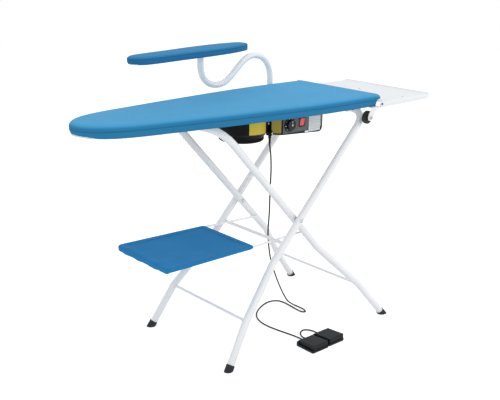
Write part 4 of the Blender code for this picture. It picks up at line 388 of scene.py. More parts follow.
def make_weave_group():
    """Plain weave: over and under threads, with slubs, a slow change of tone, and a deeper colour below the
    top's edge, partly the sides' own deeper cloth and partly painted shade on the sides."""
    tree, given, made = new_group(
        "plain weave",
        [
            ("Thread", "Float", WEAVE_THREAD),
            ("Colour", "Color", (0.5, 0.5, 0.5, 1)),
            ("Shade", "Color", (0.4, 0.4, 0.4, 1)),
            ("Slub", "Float", WEAVE_SLUB),
            ("Side tone and shade", "Color", (0.3, 0.3, 0.3, 1)),
            ("Side tone and shade from", "Float", NO_SIDE_TONE_AND_SHADE),
            ("Side tone and shade over", "Float", 0.01),
        ],
    )
    place = own_place(tree)
    split = tree.nodes.new("ShaderNodeSeparateXYZ")
    tree.links.new(place, split.inputs[0])
    x, y, z = split.outputs
    turns = math_node(tree, "DIVIDE", math.pi, given["Thread"])
    wobble = math_node(tree, "MULTIPLY", noise_node(tree, place, WEAVE_WOBBLE_SCALE, 1.0), WEAVE_WOBBLE)
    across = math_node(tree, "ADD", math_node(tree, "ADD", x, z), wobble)
    along = math_node(tree, "ADD", math_node(tree, "ADD", y, z), wobble)
    warp = math_node(tree, "SINE", math_node(tree, "MULTIPLY", across, turns))
    weft = math_node(tree, "SINE", math_node(tree, "MULTIPLY", along, turns))
    height = scale_and_add(tree, math_node(tree, "MULTIPLY", warp, weft), 0.5, 0.5)
    slub = noise_node(tree, place, WEAVE_SLUB_SCALE, 2.0)
    slow = noise_node(tree, place, WEAVE_TONE_SCALE, 3.0)
    tone = math_node(tree, "SUBTRACT", scale_and_add(tree, slub, given["Slub"], slow), 0.40)
    tone = scale_and_add(tree, height, 0.20, tone)
    share = tree.nodes.new("ShaderNodeClamp")
    tree.links.new(tone, share.inputs[0])
    mixed = mix_colours(tree, share.outputs[0], given["Shade"], given["Colour"])
    # Below the given height the colour deepens towards the deeper side colour: partly the sides' own deeper
    # cloth, partly painted shade on the sides.
    below_top = math_node(tree, "SUBTRACT", given["Side tone and shade from"], z)
    deep = tree.nodes.new("ShaderNodeMapRange")
    deep.interpolation_type = "SMOOTHSTEP"
    tree.links.new(math_node(tree, "DIVIDE", below_top, given["Side tone and shade over"]), deep.inputs["Value"])
    mixed = mix_colours(tree, deep.outputs["Result"], mixed, given["Side tone and shade"])
    tree.links.new(mixed, made["Colour"])
    tree.links.new(height, made["Height"])
    tree.links.new(scale_and_add(tree, slub, 0.12, 0.80), made["Roughness"])
    return tree


def make_coat_group():
    """Sprayed paint or moulded plastic: fine grain, faint unevenness and a little dust."""
    tree, given, made = new_group(
        "coat grain",
        [
            ("Colour", "Color", (0.8, 0.8, 0.8, 1)),
            ("Dust", "Color", (0.6, 0.6, 0.6, 1)),
            ("Dust share", "Float", 0.1),
            ("Grain scale", "Float", 900.0),
            ("Roughness", "Float", 0.4),
            ("Roughness range", "Float", 0.1),
        ],
    )
    place = own_place(tree)
    grain = noise_node(tree, place, given["Grain scale"], 2.0, 0.6)
    cloud = noise_node(tree, place, COAT_CLOUD_SCALE, 4.0, 0.6)
    share = math_node(tree, "MULTIPLY", cloud, given["Dust share"])
    tree.links.new(mix_colours(tree, share, given["Colour"], given["Dust"]), made["Colour"])
    tree.links.new(grain, made["Height"])
    spread = math_node(tree, "SUBTRACT", cloud, 0.5)
    rough = scale_and_add(tree, spread, given["Roughness range"], given["Roughness"])
    tree.links.new(rough, made["Roughness"])
    return tree


def make_brush_group():
    """Rolled or brushed sheet: fine lines one way, with smudges."""
    tree, given, made = new_group(
        "rolled metal",
        [
            ("Colour", "Color", (0.6, 0.6, 0.6, 1)),
            ("Roughness", "Float", 0.35),
            ("Stretch", "Vector", METAL_STRETCH),
        ],
    )
    place = own_place(tree)
    stretch = tree.nodes.new("ShaderNodeVectorMath")
    stretch.operation = "MULTIPLY"
    tree.links.new(place, stretch.inputs[0])
    tree.links.new(given["Stretch"], stretch.inputs[1])
    lines = noise_node(tree, stretch.outputs[0], 1.0, 3.0, 0.7)
    smudge = noise_node(tree, place, METAL_SMUDGE_SCALE, 4.0, 0.6)
    share = math_node(tree, "MULTIPLY", smudge, 0.35)
    tree.links.new(mix_colours(tree, share, given["Colour"], METAL_SMUDGE), made["Colour"])
    tree.links.new(lines, made["Height"])
    tree.links.new(scale_and_add(tree, smudge, 0.15, given["Roughness"]), made["Roughness"])
    return tree


WEAVE = make_weave_group()
COAT = make_coat_group()
BRUSH = make_brush_group()


# Looks
def new_look(name, group, values, bump, depth, metallic=0.0, sheen=0.0, coat=0.0, gloss=0.5):
    """A material whose colour, roughness and bump come from one of the groups."""
    look = bpy.data.materials.new(name)
    look.use_nodes = True
    tree = look.node_tree
    shader = tree.nodes["Principled BSDF"]
    shader.inputs["Metallic"].default_value = metallic
    shader.inputs["Sheen Weight"].default_value = sheen
    shader.inputs["Sheen Roughness"].default_value = 0.5
    shader.inputs["Specular IOR Level"].default_value = gloss
    shader.inputs["Coat Weight"].default_value = coat
    shader.inputs["Coat Roughness"].default_value = 0.15
    effect = tree.nodes.new("ShaderNodeGroup")
    effect.node_tree = group
    for label, value in values.items():
        effect.inputs[label].default_value = value
    tree.links.new(effect.outputs["Colour"], shader.inputs["Base Color"])
    tree.links.new(effect.outputs["Roughness"], shader.inputs["Roughness"])
    relief = tree.nodes.new("ShaderNodeBump")
    relief.inputs["Strength"].default_value = bump
    relief.inputs["Distance"].default_value = depth
    tree.links.new(effect.outputs["Height"], relief.inputs["Height"])
    tree.links.new(relief.outputs["Normal"], shader.inputs["Normal"])
    return look


def cloth_look(name, base, shade, thread=WEAVE_THREAD, deep=None, side_tone_and_shade_from=NO_SIDE_TONE_AND_SHADE, side_tone_and_shade_over=0.01):
    """Cloth of one colour, or with a deeper colour below a given height, which on the covers' sides is partly
    their own deeper cloth and partly painted shade.
    """
    values = {
        "Thread": thread,
        "Colour": colour(*base),
        "Shade": colour(*shade),
        "Slub": WEAVE_SLUB,
        "Side tone and shade": colour(*(deep or shade)),
        "Side tone and shade from": side_tone_and_shade_from,
        "Side tone and shade over": side_tone_and_shade_over,
    }
    return new_look(name, WEAVE, values, bump=0.45, depth=0.00025, sheen=0.03, gloss=0.15)


def coat_look(
    name, base, roughness, dust, share=0.12, grain=900.0, bump=0.15, spread=0.12, coat=0.0, metallic=0.0,
    gloss=0.5,
):
    """Paint or plastic of this colour and roughness, with a share of dust."""
    values = {
        "Colour": colour(*base),
        "Dust": colour(*dust),
        "Dust share": share,
        "Grain scale": grain,
        "Roughness": roughness,
        "Roughness range": spread,
    }
    return new_look(name, COAT, values, bump=bump, depth=0.0001, coat=coat, metallic=metallic, gloss=gloss)


def foil_look(name, base, roughness, dust):
    return coat_look(name, base, roughness, dust, share=0.20, grain=700.0, bump=0.04, gloss=0.3)


def metal_look(name, base, roughness, stretch=METAL_STRETCH):
    values = {"Colour": colour(*base), "Roughness": roughness, "Stretch": stretch}
    return new_look(name, BRUSH, values, bump=0.08, depth=0.0001, metallic=1.0)


LOOKS = {
    # The covers' deep colours below the top's edge are partly the sides' own deeper cloth and partly painted
    # shade on the sides.
    "board_cloth": cloth_look(
        "board_cloth_blue", (84, 171, 217), (74, 158, 207),
        deep=(41, 124, 170), side_tone_and_shade_from=0.9010, side_tone_and_shade_over=0.0130,
    ),
    "sleeve_cloth": cloth_look(
        "sleeve_cloth_blue", (54, 140, 191), (44, 127, 179),
        deep=(34, 112, 160), side_tone_and_shade_from=1.0640, side_tone_and_shade_over=0.0110,
    ),
    "shelf_cloth": cloth_look("shelf_cloth_blue", (35, 132, 191), (27, 119, 178), thread=0.0011),
    "frame_paint": coat_look(
        "frame_paint_white", (243, 244, 245), 0.36, (232, 233, 234),
        share=0.06, grain=500.0, bump=0.03, spread=0.06,
    ),
    "tray_paint": coat_look(
        "tray_paint_white", (236, 238, 240), 0.46, (225, 227, 229),
        share=0.08, grain=500.0, bump=0.03, spread=0.06,
    ),
    "foot_rubber": coat_look(
        "foot_rubber_grey", (40, 43, 46), 0.70, (64, 65, 67), share=0.20, grain=700.0, bump=0.30, gloss=0.25,
    ),
    "bolt_steel": coat_look(
        "bolt_steel_zinc", (206, 209, 213), 0.34, (190, 193, 197),
        share=0.15, grain=600.0, bump=0.05, metallic=0.4,
    ),
    "plate_metal": metal_look("plate_zinc", (192, 195, 199), 0.38),
    "pan_metal": coat_look(
        "pan_paint_white", (226, 229, 232), 0.45, (190, 193, 197),
        share=0.15, grain=500.0, bump=0.05, spread=0.08,
    ),
    "heater_metal": metal_look("heater_dark_steel", (120, 112, 104), 0.45, (300, 60, 300)),
    "motor_black": coat_look(
        "motor_paint_black", (9, 10, 12), 0.48, (22, 23, 26), share=0.08, grain=800.0, bump=0.12, gloss=0.12,
    ),
    "motor_metal": coat_look(
        "motor_casting", (120, 122, 124), 0.55, (90, 88, 84),
        share=0.30, grain=350.0, bump=0.50, metallic=0.8,
    ),
    "fan_plastic": coat_look("fan_plastic_dark", (58, 58, 60), 0.50, (90, 88, 84), share=0.25),
    "box_black": coat_look(
        "box_plastic_black", (14, 15, 18), 0.55, (32, 33, 36), share=0.10, grain=1400.0, bump=0.25, gloss=0.2,
    ),
    "panel_grey": coat_look(
        "panel_paint_grey", (86, 88, 90), 0.45, (103, 105, 107), bump=0.08, gloss=0.35,
    ),
    "dial_black": coat_look(
        "dial_plastic_black", (14, 14, 16), 0.38, (34, 35, 37),
        share=0.06, grain=1200.0, bump=0.12, gloss=0.3,
    ),
    "rocker_red": coat_look(
        "rocker_lens_red", (222, 24, 40), 0.20, (190, 18, 30), share=0.20, grain=600.0, bump=0.06, coat=0.6,
    ),
    "wheel_black": coat_look(
        "wheel_plastic_black", (26, 26, 28), 0.55, (62, 61, 59), share=0.20, bump=0.20, gloss=0.3,
    ),
    "pedal_plastic": coat_look(
        "pedal_plastic_dark", (17, 20, 22), 0.60, (48, 51, 54), grain=1500.0, bump=0.30, gloss=0.2,
    ),
    "treadle_plastic": coat_look(
        "treadle_plastic_dark", (22, 25, 28), 0.58, (54, 57, 60), grain=1500.0, bump=0.35, gloss=0.2,
    ),
    "cord_black": coat_look(
        "cord_sheath_black", (7, 7, 8), 0.60, (20, 20, 22), share=0.08, grain=1200.0, bump=0.10, gloss=0.15,
    ),
    "felt": cloth_look("felt_pale", (200, 196, 186), (180, 176, 166), thread=0.0016),
}
# Real stitches in a thread darkened past the cloth's colour: its darkness is painted shade of the seam's
# groove.
SEAM_SHADE_THREAD_LOOK = cloth_look("stitch_thread_seam_shade", (26, 92, 138), (20, 78, 120), thread=0.0005)
YELLOW_LOOK = foil_look("foil_plate_yellow", (206, 186, 60), 0.45, (182, 164, 52))
# The blower's yellow foil darkened to olive: painted shade for the plate on the box's sloped end.
SHADED_YELLOW_LOOK = foil_look("foil_plate_yellow_painted_shade", (150, 134, 46), 0.45, (130, 116, 40))
PALE_LOOK = foil_look("foil_plate_pale", (208, 216, 217), 0.42, (190, 197, 199))
RULE_LOOK = coat_look("printed_rule_grey", (150, 158, 162), 0.50, (130, 138, 142), share=0.20)
MARK_LOOK = coat_look("printed_mark_white", (236, 238, 236), 0.45, (205, 208, 206), share=0.15)
TRIM_LOOK = coat_look(
    "trim_plastic_light", (206, 211, 213), 0.45, (186, 191, 193), share=0.15, bump=0.05, gloss=0.3,
)
EVEN_STRETCH = (260, 260, 260)
SCREW_LOOK = metal_look("screw_steel", (205, 208, 211), 0.28, EVEN_STRETCH)
DARK_SCREW_LOOK = metal_look("screw_black_steel", (62, 64, 67), 0.38, EVEN_STRETCH)
TACK_LOOK = metal_look("tack_dark_brown", (92, 72, 58), 0.45, EVEN_STRETCH)
BRASS_LOOK = metal_look("axle_cap_brass", (196, 160, 92), 0.30, EVEN_STRETCH)


# Cords
CORD_RADIUS = 0.0028
CORD_SIDES = 12
CORD_FLOOR_REACH = (-0.2330, 0.0240, 0.0540)
CORD_ROUTE = (
    (-0.4536, -0.0967, 0.7669), (-0.4526, -0.0966, 0.7480), (-0.4444, -0.0945, 0.7120),
    (-0.4345, -0.0880, 0.6560), (-0.4280, -0.0800, 0.5920), (-0.4200, -0.0700, 0.5420),
    (-0.4105, -0.0600, 0.4880), (-0.4050, -0.0520, 0.4440), (-0.4000, -0.0440, 0.3990),
    (-0.3920, -0.0370, 0.3600), (-0.3790, -0.0290, 0.3150), (-0.3590, -0.0200, 0.2590),
    (-0.3310, -0.0100, 0.2040), (-0.2980, 0.0010, 0.1460), (-0.2640, 0.0130, 0.0950),
    CORD_FLOOR_REACH, (-0.2080, 0.0300, 0.0240), (-0.1910, 0.0260, 0.0085),
    (-0.1830, 0.0080, 0.0031), (-0.1820, -0.0200, 0.0028), (-0.1850, -0.0450, 0.0028),
    (-0.1940, -0.0600, 0.0028), (-0.2045, -0.0550, 0.0028), (-0.2070, -0.0360, 0.0028),
    (-0.2050, -0.0050, 0.0028), (-0.2010, 0.0300, 0.0028), (-0.1990, 0.0600, 0.0028),
    (-0.2060, 0.0880, 0.0028), (-0.2280, 0.1040, 0.0028), (-0.2620, 0.1040, 0.0028),
    (-0.2980, 0.0920, 0.0028), (-0.3330, 0.0740, 0.0028), (-0.3650, 0.0490, 0.0028),
    (-0.3900, 0.0150, 0.0028), (-0.4030, -0.0250, 0.0028), (-0.4050, -0.0650, 0.0028),
    (-0.4000, -0.1080, 0.0028), (-0.3920, -0.1500, 0.0028), (-0.3860, -0.1900, 0.0034),
    (-0.3855, -0.2180, 0.0046), (-0.3860, -0.2397, 0.0048),
)
LINK_ROUTE = (
    (-0.3700, -0.2397, 0.0048), (-0.3690, -0.2200, 0.0044), (-0.3590, -0.1990, 0.0032),
    (-0.3420, -0.1820, 0.0028), (-0.3230, -0.1760, 0.0028), (-0.3080, -0.1860, 0.0030),
    (-0.3010, -0.2080, 0.0042), (-0.3010, -0.2367, 0.0048),
)
RELIEF_RIBS = 5
RELIEF_GROOVE = 0.00045
RELIEF_SIDES = 20
GLAND_RELIEF_RAISE = Vector((0, 0, 0.0003))


def cord_line(route, spacing):
    return even_line(smooth_line([at(*point) for point in route], 10), spacing)


def make_relief(name, start, ahead, length, wide, narrow, body):
    """A ribbed tapered sleeve on a cord, from its wide end."""
    profile = [(0.0, 0.0)]
    for i in range(RELIEF_RIBS * 2 + 1):
        share = i / (RELIEF_RIBS * 2)
        groove = RELIEF_GROOVE if i % 2 else 0.0
        profile.append((wide + (narrow - wide) * share - groove, length * share))
    profile.append((0.0, length))
    piece = turned(name, profile, facing(start, ahead), LOOKS["cord_black"], RELIEF_SIDES)
    return keep(piece, body)


def make_pedal_cord():
    route = cord_line(CORD_ROUTE, 0.006)
    cord = tube("pedal_cord_sheath", route, CORD_RADIUS, LOOKS["cord_black"], CORD_SIDES)
    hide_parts("pedal_cord")
    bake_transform(cord)
    top = route[0] + GLAND_RELIEF_RAISE
    gland = make_relief("gland_relief", top, route[2] - route[0], 0.022, 0.0045, 0.0031, "table_top")
    end = route[-1]
    entry = make_relief("pedal_relief_main", end, route[-3] - end, 0.014, 0.0040, 0.0030, "outer_legs")


def make_link_cord():
    route = cord_line(LINK_ROUTE, 0.004)
    cord = tube("link_cord_sheath", route, CORD_RADIUS, LOOKS["cord_black"], CORD_SIDES)
    keep(cord, "outer_legs")
    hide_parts("link_cord")
    reliefs = [
        make_relief(f"pedal_relief_{name}", end, inner - end, 0.011, 0.0040, 0.0030, "outer_legs")
        for name, end, inner in (("left", route[0], route[3]), ("right", route[-1], route[-4]))
    ]


make_pedal_cord()
make_link_cord()


# Fitted covers
def near(distance, reach):
    """1 at no distance, and 0 from this reach on."""
    return max(0.0, 1.0 - distance / reach)


def above(height, line, over):
    """0 up to the line, and 1 more for each such stretch above it."""
    return max(0.0, (height - line) / over)


def below(height, line, over):
    """0 down to the line, and 1 more for each such stretch below it."""
    return max(0.0, (line - height) / over)


def soft_noise(x, y, z):
    return noise.noise(Vector((x, y, z)))


def cover_outline(length, width, shares, spacing):
    """The cover's outline from the nose, its points evenly spaced and alike on both sides."""
    half = [Vector((along * length, across * width / 2, 0)) for along, across in shares]
    other = [Vector((p.x, -p.y, 0)) for p in reversed(half[1:])]
    whole = smooth_line(half + other, 12, closed=True)
    whole = [Vector((min(p.x, length), p.y, 0)) for p in whole]
    return even_line(whole, spacing, closed=True)


def outward(points):
    """The way out of the outline at each point, flat."""
    made = []
    for i in range(len(points)):
        along = (points[(i + 1) % len(points)] - points[i - 1]).normalized()
        made.append(Vector((-along.y, along.x, 0)))
    if (points[0] - points[len(points) // 2]).dot(made[0]) < 0:
        made = [-way for way in made]
    return made


def cover(name, outline, profile, spine, fill_rings, place, look, ripple, crown, drawn_in):
    """A fitted cover: profile rings of (inset, height, how much it puckers) from the hem to the top's edge,
    then rings that close the top towards a spine line. ripple gives the pucker along the outline, crown the
    height of the top, and drawn_in how much further in the cloth lies at a point and a height."""
    work = bmesh.new()
    ways = outward(outline)
    reach = running_lengths(outline)
    rings = []
    for inset, height, puckers in profile:
        ring = []
        for point, way, run in zip(outline, ways, reach):
            wave = ripple(run, point) * puckers
            spot = point - way * (inset + drawn_in(point, height) - wave * 0.5)
            ring.append(work.verts.new((spot.x, spot.y, height + wave * 0.35)))
        rings.append(ring)
    edge = [v.co.copy() for v in rings[-1]]
    low, high = spine
    for step in range(1, fill_rings + 1):
        share = step / fill_rings
        ring = []
        for co in edge:
            middle = Vector((min(max(co.x, low), high), 0, co.z))
            spot = co.lerp(middle, share)
            spot.z = crown(spot, co.z, share)
            ring.append(work.verts.new(spot))
        rings.append(ring)
    skin_rings(work, rings)
    bmesh.ops.remove_doubles(work, verts=rings[-1], dist=0.0008)
    bmesh.ops.dissolve_degenerate(work, edges=work.edges, dist=0.00001)
    made = finish_mesh(name, work, look)
    made.data.transform(place)
    return made


STITCH_RADIUS = 0.0004
STITCH_SIDES = 6
STITCH_PROFILE = ((-0.5, 0.35), (-0.25, 1.0), (0.25, 1.0), (0.5, 0.35))


def stitch_row(name, outline, inset, height, length, pitch):
    """A row of short raised stitches along an outline on a cover's side or a hem, in a thread darker than the
    cloth that paints the seam's shade.
    """
    spots = even_line(outline, pitch, closed=True)
    work = bmesh.new()
    for i, (spot, way) in enumerate(zip(spots, outward(spots))):
        along = (spots[(i + 1) % len(spots)] - spots[i - 1]).normalized()
        middle = spot - way * inset + Vector((0, 0, height))
        rings = []
        for step, size in STITCH_PROFILE:
            ring = []
            for j in range(STITCH_SIDES):
                turn = math.tau * j / STITCH_SIDES
                offset = way * math.cos(turn) + Vector((0, 0, math.sin(turn)))
                ring.append(work.verts.new(middle + along * length * step + offset * STITCH_RADIUS * size))
            rings.append(ring)
        skin_rings(work, rings, ends=True)
    return finish_mesh(name, work, SEAM_SHADE_THREAD_LOOK)


# The board's cover
BOARD_LENGTH = 1.194
BOARD_WIDTH = 0.435
BOARD_TOP = 0.9033
BOARD_SHARES = (
    (0.0, 0.0), (0.006, 0.155), (0.026, 0.305), (0.06, 0.430), (0.12, 0.551), (0.25, 0.669),
    (0.5, 0.854), (0.75, 0.985), (0.93, 1.0), (0.976, 0.998), (0.995, 0.978), (1.0, 0.905),
)
BOARD_PROFILE = (
    (0.0180, 0.8597, 1.0), (0.0172, 0.8586, 1.0), (0.0145, 0.8577, 1.3), (0.0105, 0.8573, 1.5),
    (0.0070, 0.8575, 1.4), (0.0042, 0.8583, 1.1), (0.0024, 0.8597, 0.9), (0.0013, 0.8620, 0.8),
    (0.0008, 0.8660, 0.7), (0.0005, 0.8710, 0.6), (0.0005, 0.8755, 0.6), (0.0006, 0.8780, 0.7),
    (0.0011, 0.8795, 0.6), (0.0021, 0.8803, 0.4), (0.0024, 0.8809, 0.2), (0.0017, 0.8815, 0.3),
    (0.0006, 0.8824, 0.5), (0.0002, 0.8840, 0.5), (0.0003, 0.8868, 0.4), (0.0009, 0.8899, 0.4),
    (0.0020, 0.8930, 0.3), (0.0037, 0.8960, 0.3), (0.0061, 0.8987, 0.2), (0.0094, 0.9006, 0.1),
    (0.0138, 0.9018, 0.0), (0.0195, 0.9025, 0.0), (0.0270, 0.9029, 0.0),
)
BOARD_SPINE = (0.13, BOARD_LENGTH - 0.19)
BOARD_FILL_RINGS = 14
BOARD_SPACING = 0.0042
GATHER_REACH = 0.30
GATHER_TURNS = 240.0
GATHER_SIZE = 0.0006
NOSE_REACH = 0.075
NOSE_LOW_LINE = 0.880
NOSE_LOW_OVER = 0.023
NOSE_LOW_PULL = 0.0100
NOSE_HIGH_LINE = 0.888
NOSE_HIGH_OVER = 0.015
NOSE_HIGH_PULL = 0.0045
CORNER_REACH = 0.070
CORNER_PULL = 0.0060
END_REACH = 0.030
END_OVERHANG = 0.0135
END_LINE = 0.8812
END_OVER = 0.0045
BOARD_STITCH_INSET = 0.0009
BOARD_STITCH_HEIGHT = 0.8793
BOARD_STITCH_LENGTH = 0.0028
BOARD_STITCH_PITCH = 0.0042


def board_ripple(run, point):
    """Fine gathers all round, stronger round the nose, where the cloth is drawn in."""
    nose = near(point.x, GATHER_REACH)
    soft = soft_noise(run * 22.0, 3.1, 0.0)
    gather = math.sin(run * GATHER_TURNS + soft * 5.0) * (0.25 + nose * 0.9)
    return GATHER_SIZE * (soft * 1.2 + gather * 0.5)


def board_drawn_in(point, height):
    """How far the cloth is drawn in: at the nose, and below the corners of the square end. Above the tray's
    height the square end stands out over the tray instead."""
    nose = near(point.x, NOSE_REACH)
    low = below(height, NOSE_LOW_LINE, NOSE_LOW_OVER)
    high = above(height, NOSE_HIGH_LINE, NOSE_HIGH_OVER)
    to_end = BOARD_LENGTH - point.x
    corner = near(math.hypot(to_end, BOARD_WIDTH / 2 - abs(point.y)), CORNER_REACH)
    end = near(to_end, END_REACH)
    over = min(1.0, above(height, END_LINE, END_OVER))
    at_nose = nose * (NOSE_LOW_PULL * low**2 + NOSE_HIGH_PULL * high**2)
    return at_nose + corner * CORNER_PULL * min(1.0, low) - end * END_OVERHANG * over


def board_crown(spot, edge_height, share):
    """The top's height: it rises from its edge, with shallow dips and creases away from the edge."""
    sink = soft_noise(spot.x * 7.0, spot.y * 9.0, 1.7) * 0.0005
    crease = soft_noise(spot.x * 3.0 + 9.0, spot.y * 26.0, 4.2) * 0.0002
    rise = (BOARD_TOP - edge_height) * (1 - (1 - share) ** 3)
    return edge_height + rise + (sink + crease) * (1 - (1 - share) ** 4)


def make_board_cover():
    to_nose = Matrix.Translation(at(-BOARD_LENGTH, 0, 0))
    outline = cover_outline(BOARD_LENGTH, BOARD_WIDTH, BOARD_SHARES, BOARD_SPACING)
    piece = cover(
        "board_cover_cloth", outline, BOARD_PROFILE, BOARD_SPINE, BOARD_FILL_RINGS, to_nose,
        LOOKS["board_cloth"], board_ripple, board_crown, board_drawn_in,
    )
    keep(piece, "table_top")
    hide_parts("board_cover", "board_pad")
    stitches = stitch_row(
        "board_cover_stitches", cover_outline(BOARD_LENGTH, BOARD_WIDTH, BOARD_SHARES, 0.012),
        BOARD_STITCH_INSET, BOARD_STITCH_HEIGHT, BOARD_STITCH_LENGTH, BOARD_STITCH_PITCH,
    )
    stitches.data.transform(to_nose)
    keep(stitches, "table_top")


# The sleeve board's cover
SLEEVE_LENGTH = 0.6485
SLEEVE_WIDTH = 0.117
SLEEVE_TOP = 1.0650
SLEEVE_NOSE_TO_POST = 0.3775
SLEEVE_HEADING = math.radians(11.9)
SLEEVE_POST = (-0.5046, 0.240)
SLEEVE_SHARES = (
    (0.0, 0.0), (0.008, 0.26), (0.035, 0.54), (0.09, 0.76), (0.16, 0.83), (0.35, 0.88),
    (0.62, 1.0), (0.82, 0.90), (0.93, 0.69), (0.972, 0.55), (0.993, 0.37), (1.0, 0.20),
)
SLEEVE_PROFILE = (
    (0.0138, 1.0369, 0.6), (0.0132, 1.0358, 0.8), (0.0100, 1.0353, 1.0), (0.0060, 1.0353, 1.0),
    (0.0030, 1.0358, 1.0), (0.0014, 1.0372, 1.0), (0.0008, 1.0400, 1.0), (0.0006, 1.0440, 1.0),
    (0.0005, 1.0485, 1.1), (0.0006, 1.0520, 1.0), (0.0013, 1.0533, 0.6), (0.0020, 1.0538, 0.2),
    (0.0012, 1.0543, 0.3), (0.0004, 1.0552, 0.5), (0.0008, 1.0575, 0.6), (0.0020, 1.0600, 0.5),
    (0.0042, 1.0618, 0.3), (0.0075, 1.0630, 0.1), (0.0120, 1.0636, 0.0),
)
SLEEVE_SPINE = (0.06, SLEEVE_LENGTH - 0.05)
SLEEVE_FILL_RINGS = 8
SLEEVE_SPACING = 0.0036
SLEEVE_WRINKLE = 0.0007
SLEEVE_NOSE_REACH = 0.040
SLEEVE_LOW_LINE = 1.050
SLEEVE_LOW_OVER = 0.015
SLEEVE_LOW_PULL = 0.0065
SLEEVE_HIGH_LINE = 1.0545
SLEEVE_HIGH_OVER = 0.009
SLEEVE_HIGH_PULL = 0.0050


def sleeve_ripple(run, _point):
    """Long thin wrinkles that run along the sleeve board's side, alike all round."""
    long_one = soft_noise(run * 9.0, 8.3, 0.0)
    short_one = soft_noise(run * 55.0, 2.3, 0.0)
    return SLEEVE_WRINKLE * (long_one + 0.6 * short_one)


def sleeve_drawn_in(point, height):
    """How far the cloth is drawn in at the nose, towards the hem and towards the top."""
    low = below(height, SLEEVE_LOW_LINE, SLEEVE_LOW_OVER)
    high = above(height, SLEEVE_HIGH_LINE, SLEEVE_HIGH_OVER)
    pull = SLEEVE_LOW_PULL * low**2 + SLEEVE_HIGH_PULL * high**2
    return near(point.x, SLEEVE_NOSE_REACH) * pull


def sleeve_crown(spot, edge_height, share):
    """The top's height: it rises from its edge, with shallow dips away from the edge."""
    sink = soft_noise(spot.x * 12.0, spot.y * 20.0, 6.7) * 0.0004
    rise = (SLEEVE_TOP - edge_height) * (1 - (1 - share) ** 3)
    return edge_height + rise + sink * (1 - (1 - share) ** 4)


def sleeve_place():
    post = Matrix.Translation(at(*SLEEVE_POST, 0))
    turn = Matrix.Rotation(SLEEVE_HEADING, 4, "Z")
    return post @ turn @ Matrix.Translation((-SLEEVE_NOSE_TO_POST, 0, 0))


def make_sleeve_cover():
    outline = cover_outline(SLEEVE_LENGTH, SLEEVE_WIDTH, SLEEVE_SHARES, SLEEVE_SPACING)
    piece = cover(
        "sleeve_cover_cloth", outline, SLEEVE_PROFILE, SLEEVE_SPINE, SLEEVE_FILL_RINGS, sleeve_place(),
        LOOKS["sleeve_cloth"], sleeve_ripple, sleeve_crown, sleeve_drawn_in,
    )
    keep(piece, "sleeve")
    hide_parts("sleeve_cover", "sleeve_pad")


make_board_cover()
make_sleeve_cover()


# The shelf's cloth
PIVOT_X = -0.370
PIVOT_HEIGHT = 0.465
SHELF_ARM = 0.102
SHELF_PIN_ANGLE = math.radians(43.0)
SHELF_REST_ANGLE = math.radians(34.0)
SHELF_LIFT = 0.0118
SHELF_START_RUN = 0.260
SHELF_LENGTH = 0.390
SHELF_START_HALF = 0.1405
SHELF_END_HALF = 0.1505
SHELF_ROLL_RADIUS = 0.0080
SHELF_START_BEND = 0.006
SHELF_END_BEND = 0.014
SHELF_BEND_STEPS = 8
SHELF_SAG = 0.006
SHELF_HEM_PROFILE = (
    (0.0160, -0.0036), (0.0120, -0.0050), (0.0070, -0.0062), (0.0020, -0.0069), (-0.0030, -0.0064),
    (-0.0060, -0.0042), (-0.0073, 0.0000), (-0.0064, 0.0034), (-0.0034, 0.0052), (0.0010, 0.0060),
    (0.0060, 0.0060), (0.0105, 0.0056), (0.0125, 0.0051), (0.0138, 0.0049), (0.0152, 0.0050),
    (0.0168, 0.0044), (0.0172, 0.0036),
)
SHELF_HEM_DROP = 0.0070
SHELF_HEM_BULGE = 0.0020
SHELF_BULGE_HEIGHT = 0.005
SHELF_PUCKER = 0.0029
SHELF_PUCKER_REACH = 0.038
SHELF_SCALLOP_TURNS = 78.0
SHELF_PUCKER_TOP = 0.8
SHELF_PUCKER_BELOW = -0.6
SHELF_SHEET_INSET = 0.0115
SHELF_SHEET_LIFT = 0.0034
SHELF_SHEET_STEP = 0.0052
SHELF_DIP = 0.0024
SHELF_CREASE = 0.0008
SHELF_THICKNESS = 0.0011
SHELF_STITCH_INSET = 0.0138
SHELF_STITCH_HEIGHT = 0.0050
SHELF_STITCH_LENGTH = 0.0038
SHELF_STITCH_PITCH = 0.0056


def shelf_place():
    """The shelf's own frame, from the line of its pins, tipped until the wire lies on its rest tube."""
    pin, rest = [
        at(PIVOT_X + side * SHELF_ARM * math.sin(angle), 0, PIVOT_HEIGHT - SHELF_ARM * math.cos(angle))
        for side, angle in ((1, SHELF_PIN_ANGLE), (-1, SHELF_REST_ANGLE))
    ]
    drop = math.atan2(pin.z - rest.z, pin.x - rest.x)
    climb = math.asin(SHELF_LIFT / (rest - pin).length) - drop
    return Matrix.Translation(pin) @ Matrix.Rotation(climb, 4, "Y")


def shelf_outline(spacing):
    """The line of the shelf's wires, from the pins' side, in the shelf's own frame."""
    start = -SHELF_START_RUN - SHELF_ROLL_RADIUS
    end = -SHELF_START_RUN - SHELF_LENGTH + SHELF_ROLL_RADIUS
    corners = (
        (start, SHELF_START_HALF, SHELF_START_BEND),
        (end, SHELF_END_HALF, SHELF_END_BEND),
        (end, -SHELF_END_HALF, SHELF_END_BEND),
        (start, -SHELF_START_HALF, SHELF_START_BEND),
    )
    made = []
    for i, (x, y, bend) in enumerate(corners):
        here = Vector((x, y, 0))
        before = Vector((*corners[i - 1][:2], 0)) - here
        after = Vector((*corners[(i + 1) % 4][:2], 0)) - here
        a = here + before.normalized() * bend
        b = here + after.normalized() * bend
        for step in range(SHELF_BEND_STEPS + 1):
            share = step / SHELF_BEND_STEPS
            made.append((a.lerp(here, share)).lerp(here.lerp(b, share), share))
    return even_line(made, spacing, closed=True)


